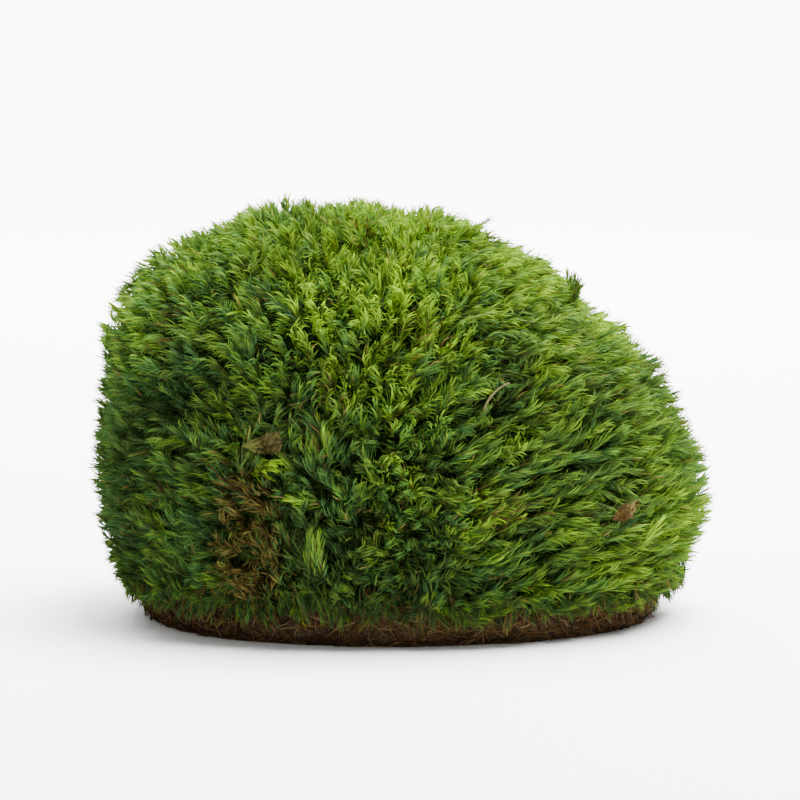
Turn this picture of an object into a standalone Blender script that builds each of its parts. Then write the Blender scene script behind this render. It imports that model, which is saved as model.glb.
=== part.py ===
"""A picked cushion of broom moss: one dome of crowded shoots on the mat of dead stems it grew from.

The dome is closed and rests on the flat underside of its mat. Litter lies caught between the shoots.
Units are metres, +Z is up, +X is to the right as the clump is seen from its front, which is -Y.
The origin is the middle of the footprint, at the height of the cut underside.
"""

import math
import random

import bmesh
import bpy
from mathutils import Matrix, Vector, noise

# Reach of the outermost shoot tips from the dome's own middle, to each side
REACH_RIGHT = 0.0705
REACH_LEFT = 0.0640
REACH_FRONT = 0.0570
REACH_BACK = 0.0560

# Heights above the cut underside
CROWN = 0.0895  # tips of the highest shoots
WIDEST = 0.0280  # level at which the dome is widest
SEAM = 0.0078  # flat underside of the living dome
MAT_TOP = 0.0075  # the dead mat ends this far up, with a hair's gap to the dome
FRINGE = 0.0015  # the lowest drooping tips stay this far off the ground

# Side profile of each flank, as the exponent of a superellipse: 2 is round, less slopes, more is boxy
PROFILE_RIGHT = 1.58
PROFILE_LEFT = 3.00
PROFILE_FACE = 2.10
PLAN = 2.10  # the same for the outline seen from above
UNDERCUT = 0.045  # depth below WIDEST at which the lower flank would close

# The growth of the surface
TUFTS = 1560  # shoots there would be on a whole ball, before the underside is cut away
TUFT_DEPTH = 0.0036  # from a tip down to the gap between shoots
TUFT_UNEVEN = 0.0012  # how much shorter a shoot may be than its neighbours
TUFT_DRIFT = 0.30  # sideways wander of a shoot, as a share of the spacing
TUFT_LEAN = 0.0016  # how far a tip leans up the flank, or down near the ground
SWELL = 0.0022  # height of the broad swellings in the dome
SWELL_WIDTH = 0.0270
LUMP = 0.0009  # height of the smaller lumps on them
LUMP_WIDTH = 0.0110
RIM_POINTS = 84

# Dips between the lobes of the front face: distance right of the middle, height, depth and half width.
# The last is a single shoot that stands proud of the right-hand slope.
DIPS = (
    (0.0030, 0.0890, 0.0022, 0.0040),
    (0.0000, 0.0800, 0.0026, 0.0070),
    (-0.0170, 0.0800, 0.0020, 0.0070),
    (-0.0430, 0.0690, 0.0022, 0.0080),
    (-0.0400, 0.0500, 0.0024, 0.0080),
    (0.0010, 0.0450, 0.0026, 0.0080),
    (0.0180, 0.0360, 0.0022, 0.0080),
    (-0.0110, 0.0300, 0.0020, 0.0080),
    (0.0390, 0.0170, 0.0018, 0.0070),
    (0.0400, 0.0715, -0.0016, 0.0040),
)
DIP_FADE = (0.005, 0.030)  # dips fade out between these distances behind the middle

# The dead mat under the dome
MAT_INSET = 0.0022  # from the gaps between the lowest shoots in to the mat's edge
MAT_SIDES = 66
MAT_LAYERS = 4
MAT_ROUGHNESS = 0.0013
MAT_UNDERCUT = 0.0022  # how far the edge draws in at the ground

# Litter, by where it lies on the front of the dome: distance right of the middle, and height
NEEDLE_AT = (0.0197, 0.0514)
NEEDLE_LENGTH = 0.0080
NEEDLE_THICKNESS = 0.0011
NEEDLE_TURN = math.radians(46)
RUST_SCRAP_AT = (0.0466, 0.0265)
RUST_SCRAP_SIZE = (0.0086, 0.0048)
RUST_SCRAP_TURN = math.radians(12)
BROWN_SCRAP_AT = (-0.0283, 0.0417)
BROWN_SCRAP_SIZE = (0.0082, 0.0052)
BROWN_SCRAP_TURN = math.radians(6)
SCRAP_THICKNESS = 0.0005
SCRAP_CURL = 0.0011
BED_DEPTH = 0.0042  # how far the shoots are pressed down under a piece of litter
BED_MARGIN = 0.0040
LITTER_SINK = 0.0028  # how far a piece lies below the tips around it

# Colours, as linear red, green and blue
LIVING_GREEN = (0.090, 0.155, 0.020)
DEAD_BROWN = (0.070, 0.042, 0.018)
DRY_STRAW = (0.300, 0.225, 0.095)
RUST = (0.240, 0.085, 0.028)
LEAF_BROWN = (0.095, 0.062, 0.022)

MIDDLE = Vector(((REACH_LEFT - REACH_RIGHT) / 2, 0, WIDEST))
GOLDEN_ANGLE = math.pi * (3 - math.sqrt(5))
SEED = 11


def clear_scene():
    for obj in list(bpy.data.objects):
        bpy.data.objects.remove(obj, do_unlink=True)


def new_collection(name):
    collection = bpy.data.collections.new(name)
    bpy.context.scene.collection.children.link(collection)
    return collection


def new_material(name, colour, roughness):
    """A Principled material of one colour, given as linear red, green and blue."""
    material = bpy.data.materials.new(name)
    material.use_nodes = True
    shader = material.node_tree.nodes["Principled BSDF"]
    shader.inputs["Base Color"].default_value = (*colour, 1)
    shader.inputs["Roughness"].default_value = roughness
    shader.inputs["Metallic"].default_value = 0
    material.diffuse_color = (*colour, 1)
    return material


def new_object(name, mesh, material, collection):
    obj = bpy.data.objects.new(name, mesh)
    mesh.materials.append(material)
    collection.objects.link(obj)
    return obj


def tip_distance(way):
    """Distance from MIDDLE to the shoot tips in a direction, before the swellings.

    The outline from above is a superellipse, and so is each flank from there to the crown. The
    flank's exponent passes smoothly from the left side's, through the faces', to the right side's.
    """
    reach_x = REACH_RIGHT if way.x > 0 else REACH_LEFT
    reach_y = REACH_BACK if way.y > 0 else REACH_FRONT
    flat = math.hypot(way.x, way.y)
    sideways = abs(way.x) / flat if flat > 1e-9 else 0
    profile_x = PROFILE_RIGHT if way.x > 0 else PROFILE_LEFT
    profile = profile_x * sideways + PROFILE_FACE * (1 - sideways)
    plan = (abs(way.x / reach_x) ** PLAN + abs(way.y / reach_y) ** PLAN) ** (1 / PLAN)
    rise = way.z / (CROWN - WIDEST) if way.z > 0 else -way.z / UNDERCUT
    if way.z < 0:
        profile = PROFILE_FACE
    return (plan**profile + rise**profile) ** (-1 / profile)


def swelling(point):
    """How far the surface swells or sinks at a point: broad swellings, smaller lumps, and the dips."""
    broad = noise.noise(point / SWELL_WIDTH)
    small = noise.noise(point / LUMP_WIDTH + Vector((7, 3, 5)))
    rise = SWELL * broad + LUMP * small
    near, far = DIP_FADE
    fade = min(1, max(0, (far - point.y) / (far - near)))
    for right, height, depth, width in DIPS:
        off = math.hypot(point.x - right, point.z - height) / width
        rise -= fade * depth * math.exp(-off * off)
    return rise


def dome_point(way, sink=0):
    """The point of the tips' envelope in a direction, or one that lies this far beneath it."""
    way = way.normalized()
    distance = tip_distance(way)
    fading = min(1, max(0, (MIDDLE.z + distance * way.z - SEAM) / WIDEST))
    distance += swelling(MIDDLE + way * distance) * fading
    return MIDDLE + way * (distance - sink)


def dome_normal(way):
    """The outward normal of the envelope, from two small steps along it."""
    way = way.normalized()
    across = way.orthogonal().normalized()
    along = way.cross(across)
    step = 0.03
    first = dome_point(way + across * step) - dome_point(way - across * step)
    second = dome_point(way + along * step) - dome_point(way - along * step)
    normal = first.cross(second).normalized()
    return normal if normal.dot(way) > 0 else -normal


def way_to_front(right, height):
    """The direction in which the front of the dome has a point this far right and this high."""
    near, far = 0.0, REACH_FRONT * 1.5
    for _ in range(40):
        y = (near + far) / 2
        way = Vector((right, -y, height)) - MIDDLE
        inside = way.length < (dome_point(way) - MIDDLE).length
        near, far = (y, far) if inside else (near, y)
    return way.normalized()


def shoot_ways():
    """Directions of the shoots: a golden-angle spiral over a ball, each moved a little at random."""
    chance = random.Random(SEED)
    spacing = math.sqrt(4 * math.pi / TUFTS)
    ways = []
    for i in range(TUFTS):
        z = 1 - (2 * i + 1) / TUFTS
        ring = math.sqrt(1 - z * z)
        turn = i * GOLDEN_ANGLE
        way = Vector((ring * math.cos(turn), ring * math.sin(turn), z))
        drift = Vector([chance.uniform(-1, 1) for _ in range(3)]) * TUFT_DRIFT * spacing
        way = (way + drift).normalized()
        if dome_point(way, TUFT_DEPTH).z > SEAM + TUFT_DEPTH / 2:
            ways.append(way)
    return ways


def rim_way(turn):
    """At a bearing, the direction in which the gaps between the lowest shoots meet the underside."""
    low, high = math.radians(-70), 0
    for _ in range(40):
        slope = (low + high) / 2
        way = Vector((math.cos(turn), math.sin(turn), math.tan(slope))).normalized()
        above = dome_point(way, TUFT_DEPTH).z > SEAM
        low, high = (low, slope) if above else (slope, high)
    return way


def litter_beds():
    """Where the shoots are pressed down: the middle and the half width of each piece's bed."""
    sizes = (
        (NEEDLE_AT, NEEDLE_LENGTH / 2),
        (RUST_SCRAP_AT, RUST_SCRAP_SIZE[0] / 2),
        (BROWN_SCRAP_AT, BROWN_SCRAP_SIZE[0] / 2),
    )
    return [(dome_point(way_to_front(*place)), half + BED_MARGIN) for place, half in sizes]


def pressed(point, beds):
    """How far shoots at a point are pressed down, fading to nothing at the edge of each bed."""
    depth = 0
    for middle, radius in beds:
        share = min(1, (point - middle).length / radius)
        depth = max(depth, BED_DEPTH * (1 - share**4))
    return depth


def build_cushion(collection):
    """The living dome: the hull of the shoots' directions, with every edge's middle sunk as a gap."""
    bm = bmesh.new()
    on_rim = bm.verts.layers.int.new("on_rim")
    for i in range(RIM_POINTS):
        bm.verts.new(rim_way(2 * math.pi * i / RIM_POINTS))[on_rim] = 1
    for way in shoot_ways():
        bm.verts.new(way)
    bmesh.ops.convex_hull(bm, input=bm.verts)
    grown = [edge for edge in bm.edges if not all(vert[on_rim] for vert in edge.verts)]
    cut = bmesh.ops.subdivide_edges(bm, edges=grown, cuts=1)
    gaps = {item for item in cut["geom_inner"] if isinstance(item, bmesh.types.BMVert)}
    bmesh.ops.triangulate(bm, faces=bm.faces)

    chance = random.Random(SEED + 1)
    beds = litter_beds()
    for vert in bm.verts:
        way = vert.co.normalized()
        press = pressed(dome_point(way), beds)
        if vert in gaps:
            vert.co = dome_point(way, max(press, TUFT_DEPTH))
            vert.co.z = max(vert.co.z, SEAM)
        elif vert[on_rim]:
            vert.co = dome_point(way, TUFT_DEPTH)
            vert.co.z = SEAM
        else:
            vert.co = leaning_tip(way, max(press, chance.uniform(0, TUFT_UNEVEN)))
    bmesh.ops.recalc_face_normals(bm, faces=bm.faces)
    mesh = bpy.data.meshes.new("moss_cushion")
    bm.to_mesh(mesh)
    bm.free()
    green = new_material("living_moss", LIVING_GREEN, 0.62)
    return new_object("moss_cushion", mesh, green, collection)


def leaning_tip(way, sink):
    """A shoot's tip, leaning up the flank, or outwards and down where it hangs over the mat."""
    tip = dome_point(way, sink)
    hanging = 1 - min(1, (tip.z - SEAM) / (WIDEST - SEAM))
    lean = TUFT_LEAN * (1 - 5 * max(0, hanging) ** 2)
    upward = Vector((0, 0, 1))
    upward -= way * upward.dot(way)
    tip += upward * lean
    tip.z = max(tip.z, FRINGE)
    return tip


def mat_radius(rim, height):
    """Distance from the dome's axis to the mat's ragged edge, under a point of the rim of gaps."""
    level = math.hypot(rim.x - MIDDLE.x, rim.y - MIDDLE.y) - MAT_INSET
    place = Vector((rim.x, rim.y, height * 1.7))
    ragged = noise.noise(place / LUMP_WIDTH) + 0.6 * noise.noise(place / (LUMP_WIDTH / 3))
    undercut = MAT_UNDERCUT * (1 - height / MAT_TOP) ** 2
    return level - undercut + MAT_ROUGHNESS * ragged


def build_mat(collection):
    """The mat of dead stems and humus: a short cylinder whose rings are drawn out to a ragged edge."""
    bm = bmesh.new()
    bmesh.ops.create_cone(bm, cap_ends=True, segments=MAT_SIDES, radius1=1, radius2=1, depth=MAT_TOP)
    walls = [edge for edge in bm.edges if abs(edge.verts[0].co.z - edge.verts[1].co.z) > MAT_TOP / 2]
    bmesh.ops.subdivide_edges(bm, edges=walls, cuts=MAT_LAYERS - 1)
    for vert in bm.verts:
        height = vert.co.z + MAT_TOP / 2
        turn = math.atan2(vert.co.y, vert.co.x)
        radius = mat_radius(dome_point(rim_way(turn), TUFT_DEPTH), height)
        vert.co = Vector((MIDDLE.x + radius * math.cos(turn), radius * math.sin(turn), height))
    bmesh.ops.triangulate(bm, faces=bm.faces)
    bmesh.ops.recalc_face_normals(bm, faces=bm.faces)
    mesh = bpy.data.meshes.new("stem_mat")
    bm.to_mesh(mesh)
    bm.free()
    brown = new_material("dead_mat", DEAD_BROWN, 0.90)
    return new_object("stem_mat", mesh, brown, collection)


def litter_frame(place, turn):
    """Where a piece of litter lies: its own Z is the dome's normal there, turned about it."""
    way = way_to_front(*place)
    normal = dome_normal(way)
    along = Vector((1, 0, 0))
    along = (along - normal * along.dot(normal)).normalized()
    axes = Matrix((along, normal.cross(along), normal)).transposed().to_4x4()
    return Matrix.Translation(dome_point(way, LITTER_SINK)) @ axes @ Matrix.Rotation(turn, 4, "Z")


def build_needle(collection):
    """A dry pine needle: a bent, tapering curve with round ends filled."""
    curve = bpy.data.curves.new("dry_needle", "CURVE")
    curve.dimensions = "3D"
    curve.bevel_depth = NEEDLE_THICKNESS / 2
    curve.bevel_resolution = 1
    curve.use_fill_caps = True
    spline = curve.splines.new("POLY")
    steps = 7
    spline.points.add(steps - 1)
    for i, point in enumerate(spline.points):
        share = i / (steps - 1) * 2 - 1
        bow = 0.10 * NEEDLE_LENGTH * (1 - share**2)
        point.co = (share * NEEDLE_LENGTH / 2, bow, 0, 1)
        point.radius = 1 - 0.6 * max(0, share)
    straw = new_material("dry_straw", DRY_STRAW, 0.60)
    needle = new_object("dry_needle", curve, straw, collection)
    needle.matrix_world = litter_frame(NEEDLE_AT, NEEDLE_TURN)
    return needle


def build_scrap(name, place, size, turn, colour, collection):
    """A fragment of dead leaf: a pointed oval sheet that curls across its width."""
    bm = bmesh.new()
    bmesh.ops.create_grid(bm, x_segments=8, y_segments=4, size=0.5)
    for vert in bm.verts:
        along, across = vert.co.x * 2, vert.co.y * 2
        narrow = (1 - abs(along) ** 2.4) * 0.82 + 0.18
        wavy = 0.12 * math.sin(5 * along + 2 * across)
        vert.co.x = along * size[0] / 2
        vert.co.y = (across * narrow + wavy * narrow) * size[1] / 2
        vert.co.z = SCRAP_CURL * (across**2 - 0.5 * along**2 + 0.4 * wavy)
    mesh = bpy.data.meshes.new(name)
    bm.to_mesh(mesh)
    bm.free()
    scrap = new_object(name, mesh, new_material(name, colour, 0.7), collection)
    scrap.matrix_world = litter_frame(place, turn)
    wall = scrap.modifiers.new("thickness", "SOLIDIFY")
    wall.thickness = SCRAP_THICKNESS
    wall.offset = 0
    return scrap


def stand_on_origin(objects):
    """Moves everything sideways so that the dome's box is centred over the origin."""
    dome = bpy.data.objects["moss_cushion"]
    xs = [vert.co.x for vert in dome.data.vertices]
    ys = [vert.co.y for vert in dome.data.vertices]
    shift = Vector((-(min(xs) + max(xs)) / 2, -(min(ys) + max(ys)) / 2, 0))
    for obj in objects:
        obj.location += shift


def main():
    clear_scene()
    clump = new_collection("moss_clump")
    pieces = [
        build_cushion(clump),
        build_mat(clump),
        build_needle(clump),
        build_scrap("leaf_scrap_rust", RUST_SCRAP_AT, RUST_SCRAP_SIZE, RUST_SCRAP_TURN, RUST, clump),
        build_scrap(
            "leaf_scrap_brown", BROWN_SCRAP_AT, BROWN_SCRAP_SIZE, BROWN_SCRAP_TURN, LEAF_BROWN, clump
        ),
    ]
    stand_on_origin(pieces)


main()
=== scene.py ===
"""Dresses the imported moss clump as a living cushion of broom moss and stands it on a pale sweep.

The tufts of the CAD dome say how far the shoots reach. Leafy shoots are grown over them: each leaf is
a narrow ribbon that tapers to a point and is swept to the same side as its neighbours. A dark heart of
shaded stems closes the gaps between the shoots, a skirt of browned shoots and loose dead stems hangs
round the mat, and each piece of litter takes its place from its own CAD solid. Lengths are metres, in
the frame of the CAD model.
"""

import logging
import math
from dataclasses import dataclass, field, fields
from enum import Enum

import bpy
import numpy as np
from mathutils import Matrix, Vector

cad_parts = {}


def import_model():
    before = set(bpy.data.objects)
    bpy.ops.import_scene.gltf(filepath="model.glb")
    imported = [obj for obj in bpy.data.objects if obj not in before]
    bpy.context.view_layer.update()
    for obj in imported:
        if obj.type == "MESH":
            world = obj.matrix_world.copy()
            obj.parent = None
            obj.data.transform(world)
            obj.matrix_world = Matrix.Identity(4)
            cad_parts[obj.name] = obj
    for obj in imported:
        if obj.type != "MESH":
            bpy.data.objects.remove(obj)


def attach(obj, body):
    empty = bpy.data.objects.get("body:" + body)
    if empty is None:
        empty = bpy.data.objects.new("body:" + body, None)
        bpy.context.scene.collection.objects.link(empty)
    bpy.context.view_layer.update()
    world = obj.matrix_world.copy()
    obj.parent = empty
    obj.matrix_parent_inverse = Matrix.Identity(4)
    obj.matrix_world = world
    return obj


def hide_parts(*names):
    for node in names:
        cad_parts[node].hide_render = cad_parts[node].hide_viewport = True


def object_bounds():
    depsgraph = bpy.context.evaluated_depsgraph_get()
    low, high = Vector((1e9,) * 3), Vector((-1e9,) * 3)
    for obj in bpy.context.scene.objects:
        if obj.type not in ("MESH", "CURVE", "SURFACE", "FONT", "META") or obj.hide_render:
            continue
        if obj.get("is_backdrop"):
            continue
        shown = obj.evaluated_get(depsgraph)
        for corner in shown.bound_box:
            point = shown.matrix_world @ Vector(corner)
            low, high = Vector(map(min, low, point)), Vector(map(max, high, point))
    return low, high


LOG = logging.getLogger("moss_clump")
GOLDEN_ANGLE = math.pi * (3 - math.sqrt(5))
LATTICE_KEYS = (73856093, 19349663, 83492791)
LEAF_MAP = "OFBake"
GRAIN_MAP = "grain"
MM = 0.001

Array = np.ndarray
Triple = tuple[float, float, float]
Stops = tuple[tuple[float, Triple], ...]
Socket = bpy.types.NodeSocket
Material = bpy.types.Material
Piece = bpy.types.Object


# ---------------------------------------------------------------- numbers and meshes


def unit(vectors: Array) -> Array:
    """Each vector along the last axis, scaled to length one."""
    return vectors / np.maximum(np.linalg.norm(vectors, axis=-1, keepdims=True), 1e-12)


def dot(first: Array, second: Array) -> Array:
    """The scalar product along the last axis, which is kept with length one."""
    return np.sum(first * second, axis=-1, keepdims=True)


def square_to(vectors: Array, axes: Array) -> Array:
    """What is left of some vectors when their parts along unit axes are taken out."""
    return vectors - axes * dot(vectors, axes)


def ease(value: Array, low: float, high: float) -> Array:
    """A smooth step: 0 below low, 1 above high, and 3t^2 - 2t^3 of the share t between them."""
    share = np.clip((value - low) / (high - low), 0, 1)
    return share * share * (3 - 2 * share)


def smooth_noise(points: Array, width: float, seed: int) -> Array:
    """Value noise from -1 to 1 over space.

    Every corner of a cubic lattice of the given width has a hashed number, and a point takes the
    eased, distance-weighted mean of the eight corners round it.

    Args:
        points: Places, in an array whose last axis is x, y, z.
        width: The lattice's spacing.
        seed: Chooses one field of noise.

    Returns:
        One number a point, in the shape of points without its last axis.
    """
    cell = np.floor(points / width).astype(np.int64)
    part = points / width - cell
    part = part * part * (3 - 2 * part)
    total = np.zeros(points.shape[:-1])
    for corner in np.ndindex(2, 2, 2):
        key = (cell + corner) * LATTICE_KEYS
        mixed = (key[..., 0] ^ key[..., 1] ^ key[..., 2] ^ (seed * 2654435)) & 0xFFFFFFFF
        mixed = ((mixed ^ (mixed >> 15)) * 2246822519) & 0xFFFFFFFF
        mixed = ((mixed ^ (mixed >> 13)) * 3266489917) & 0xFFFFFFFF
        weight = np.prod(np.where(corner, part, 1 - part), axis=-1)
        total += weight * ((mixed ^ (mixed >> 16)) / 0xFFFFFFFF * 2 - 1)
    return total


def noise_vectors(points: Array, width: float, seed: int) -> Array:
    """Three fields of smooth noise at once, as vectors whose parts run from -1 to 1."""
    return np.stack([smooth_noise(points, width, seed + part) for part in range(3)], axis=-1)


def turned(vectors: Array, axes: Array, angles: Array) -> Array:
    """Vectors turned about unit axes by angles: the part along the axis stays and the rest rotates.

    Args:
        vectors: What is turned.
        axes: Unit vectors, one for each vector.
        angles: Radians, with a last axis of length one.

    Returns:
        The turned vectors.
    """
    along = axes * dot(vectors, axes)
    across = vectors - along
    return along + across * np.cos(angles) + np.cross(axes, across) * np.sin(angles)


def grid_faces(rows: int, columns: int) -> Array:
    """The triangles of an open grid whose vertices run row by row.

    Args:
        rows: Rows of vertices.
        columns: Vertices in a row.

    Returns:
        Three vertex numbers for each triangle.
    """
    row, column = np.meshgrid(np.arange(rows - 1), np.arange(columns - 1), indexing="ij")
    here = (row * columns + column).ravel()
    ahead = here + columns
    halves = (here, here + 1, ahead + 1), (here, ahead + 1, ahead)
    return np.concatenate([np.stack(half, -1) for half in halves])


def tube_faces(rings: int, sides: int) -> Array:
    """The triangles of a closed tube: its rings in order, then a pole at its start and one at its end.

    They face outwards when the sides run anticlockwise as seen from the tube's end.

    Args:
        rings: Rings of vertices.
        sides: Vertices in a ring.

    Returns:
        Three vertex numbers for each triangle.
    """
    ring, side = np.meshgrid(np.arange(rings - 1), np.arange(sides), indexing="ij")
    here = (ring * sides + side).ravel()
    beside = (ring * sides + (side + 1) % sides).ravel()
    first = np.arange(sides)
    following = (first + 1) % sides
    last = (rings - 1) * sides
    start, end = np.full(sides, rings * sides), np.full(sides, rings * sides + 1)
    parts = (
        (here, beside, beside + sides),
        (here, beside + sides, here + sides),
        (start, following, first),
        (end, last + first, last + following),
    )
    return np.concatenate([np.stack(part, -1) for part in parts])


def repeated(template: Array, copies: int, size: int) -> Array:
    """The triangles of many copies of a shape that has size vertices."""
    return (np.arange(copies)[:, None, None] * size + template[None]).reshape(-1, 3)


def new_piece(
    name: str,
    points: Array,
    faces: Array,
    finish: Material,
    uv: Array | None = None,
    uv_map: str = LEAF_MAP,
) -> Piece:
    """A mesh object at the origin, smooth-shaded.

    Args:
        name: The piece's name.
        points: Vertices, one row each.
        faces: Three vertex numbers for each triangle.
        finish: The material.
        uv: A place in the UV map for each vertex. Where a triangle crosses the seam from u near 1
            back to 0, its low corners gain 1.
        uv_map: The map's name.

    Returns:
        The object, linked to the scene.
    """
    mesh = bpy.data.meshes.new(name)
    mesh.vertices.add(len(points))
    mesh.vertices.foreach_set("co", points.astype(np.float32).ravel())
    mesh.loops.add(faces.size)
    mesh.loops.foreach_set("vertex_index", faces.astype(np.int32).ravel())
    mesh.polygons.add(len(faces))
    mesh.polygons.foreach_set("loop_start", np.arange(0, faces.size, 3, dtype=np.int32))
    mesh.polygons.foreach_set("use_smooth", np.ones(len(faces), dtype=bool))
    if uv is not None:
        corners = uv[faces]
        u = corners[..., 0]
        corners[..., 0] = np.where(u.max(axis=1, keepdims=True) - u > 0.5, u + 1, u)
        mesh.uv_layers.new(name=uv_map).data.foreach_set("uv", corners.astype(np.float32).ravel())
    mesh.update(calc_edges=True)
    mesh.materials.append(finish)
    piece = bpy.data.objects.new(name, mesh)
    bpy.context.scene.collection.objects.link(piece)
    LOG.info("%s: %d triangles", name, len(faces))
    return piece


def mesh_points(node: str) -> tuple[Array, Array]:
    """A CAD node's separate triangles, joined where their corners meet.

    Args:
        node: The node's name.

    Returns:
        Its vertices, and the three vertex numbers of each triangle.
    """
    mesh = bpy.data.objects[node].data
    points = np.zeros(len(mesh.vertices) * 3)
    mesh.vertices.foreach_get("co", points)
    corners = np.zeros(len(mesh.loops), dtype=np.int64)
    mesh.loops.foreach_get("vertex_index", corners)
    points, number = np.unique(np.round(points.reshape(-1, 3), 7), axis=0, return_inverse=True)
    return points, number.ravel()[corners].reshape(-1, 3)


# ---------------------------------------------------------------- finishes


class NodeSheet:
    """One material's node tree, with short ways to add nodes and join them."""

    def __init__(self, name: str) -> None:
        """Makes an empty material.

        Args:
            name: The material's name.
        """
        self.material = bpy.data.materials.new(name)
        self.material.use_nodes = True
        self.tree = self.material.node_tree
        self.tree.nodes.clear()

    def add(self, kind: str, inputs: dict, **settings: object) -> bpy.types.Node:
        """Adds a node.

        Args:
            kind: The node's type, without the word ShaderNode.
            inputs: For a socket's name or number, a value to set or an output to join to it.
            **settings: The node's own properties.

        Returns:
            The node.
        """
        node = self.tree.nodes.new("ShaderNode" + kind)
        for key, value in settings.items():
            setattr(node, key, value)
        for key, value in inputs.items():
            if isinstance(value, Socket):
                self.tree.links.new(value, node.inputs[key])
            else:
                node.inputs[key].default_value = value
        return node

    def math(self, operation: str, first: object, second: object = 0.0) -> Socket:
        """The result of one sum on two numbers or sockets."""
        return self.add("Math", {0: first, 1: second}, operation=operation).outputs[0]

    def times(self, first: object, second: object) -> Socket:
        """One number times another."""
        return self.math("MULTIPLY", first, second)

    def vector(self, x: object, y: object, z: object = 0.0) -> Socket:
        """Three numbers or sockets as one vector."""
        return self.add("CombineXYZ", {0: x, 1: y, 2: z}).outputs[0]

    def solid_place(self) -> Socket:
        """Object coordinates, which are metres in the frame of the CAD model."""
        return self.add("TexCoord", {}).outputs["Object"]

    def mapped_place(self, uv_map: str) -> tuple[Socket, Socket]:
        """The u and v of one of the piece's own maps."""
        place = self.add("SeparateXYZ", {0: self.add("UVMap", {}, uv_map=uv_map).outputs[0]})
        return place.outputs[0], place.outputs[1]

    def noise(self, place: Socket, scale: float, detail: float = 2.0) -> Socket:
        """Noise at a place, as a number about 0.5."""
        return self.add("TexNoise", {"Vector": place, "Scale": scale, "Detail": detail}).outputs[0]

    def span(self, value: Socket, low: float, high: float, start: float, end: float) -> Socket:
        """A value carried from the span low to high over to the span start to end, and held there."""
        return self.add("MapRange", {0: value, 1: low, 2: high, 3: start, 4: end}).outputs[0]

    def ramp(self, value: Socket, stops: Stops) -> Socket:
        """The colour that a ramp gives a value.

        Args:
            value: The place on the ramp, from 0 to 1.
            stops: Two or more places, each with its colour.

        Returns:
            The colour.
        """
        node = self.add("ValToRGB", {0: value})
        elements = node.color_ramp.elements
        while len(elements) < len(stops):
            elements.new(1.0)
        for element, (place, colour) in zip(elements, stops):
            element.position = place
            element.color = (*colour, 1)
        return node.outputs[0]

    def mix(self, share: object, first: object, second: object, blend: str = "MIX") -> Socket:
        """Two colours, as numbers or sockets, mixed by a share."""
        low, high = (each if isinstance(each, Socket) else (*each, 1) for each in (first, second))
        return self.add("Mix", {0: share, 6: low, 7: high}, data_type="RGBA", blend_type=blend).outputs[2]

    def tinted(self, colour: Socket, tint: object) -> Socket:
        """One colour times another."""
        return self.mix(1.0, colour, tint, "MULTIPLY")

    def shaded(self, colour: Socket, light: Socket) -> Socket:
        """A colour times a number."""
        return self.tinted(colour, self.add("CombineColor", {0: light, 1: light, 2: light}).outputs[0])

    def bump(self, height: Socket, strength: float, relief: float) -> Socket:
        """Normals that follow a height, where a height of one stands a distance of relief out."""
        return self.add("Bump", {"Height": height, "Strength": strength, "Distance": relief}).outputs[0]

    def skin(self, colour: Socket, roughness: object, specular: float, **more: Socket) -> Socket:
        """An opaque surface, with more of the shader's inputs by name."""
        inputs = {"Base Color": colour, "Roughness": roughness, "Specular IOR Level": specular}
        return self.add("BsdfPrincipled", inputs | more).outputs[0]

    def finish(self, shader: Socket) -> Material:
        """Joins the shader to the output and returns the material."""
        self.add("OutputMaterial", {"Surface": shader})
        return self.material


class LeafKind(Enum):
    """The families of leaves: where each one's tones start in the leaves' map, and how far they run."""

    DEAD = (0.0, 0.165)
    COOL_GREEN = (0.188, 0.372)
    GOLDEN_GREEN = (0.608, 0.392)

    def tone(self, share: Array) -> Array:
        """The tone in the map at a share, from 0 to 1, of the way from the darkest to the lightest."""
        start, run = self.value
        return start + run * share


@dataclass(frozen=True)
class LeafAtlas:
    """How leaves share one UV map: a column for each tone, with a whole leaf drawn up each column."""

    columns: int = 64
    reach: float = 0.42

    def uv(self, tone: Array, across: Array, along: Array) -> Array:
        """Places in the map.

        Args:
            tone: From 0 to 1, as the finish's ramps read it.
            across: From -1 at the leaf's left edge to 1 at its right.
            along: From 0 at the leaf's foot to 1 at its point.

        Returns:
            The places, with a last axis of u, v.
        """
        column = np.clip(np.floor(tone * self.columns), 0, self.columns - 1)
        u = (column + 0.5 + self.reach * across) / self.columns
        return np.stack(np.broadcast_arrays(u, 0.01 + 0.98 * along), axis=-1)


ATLAS = LeafAtlas()


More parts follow.
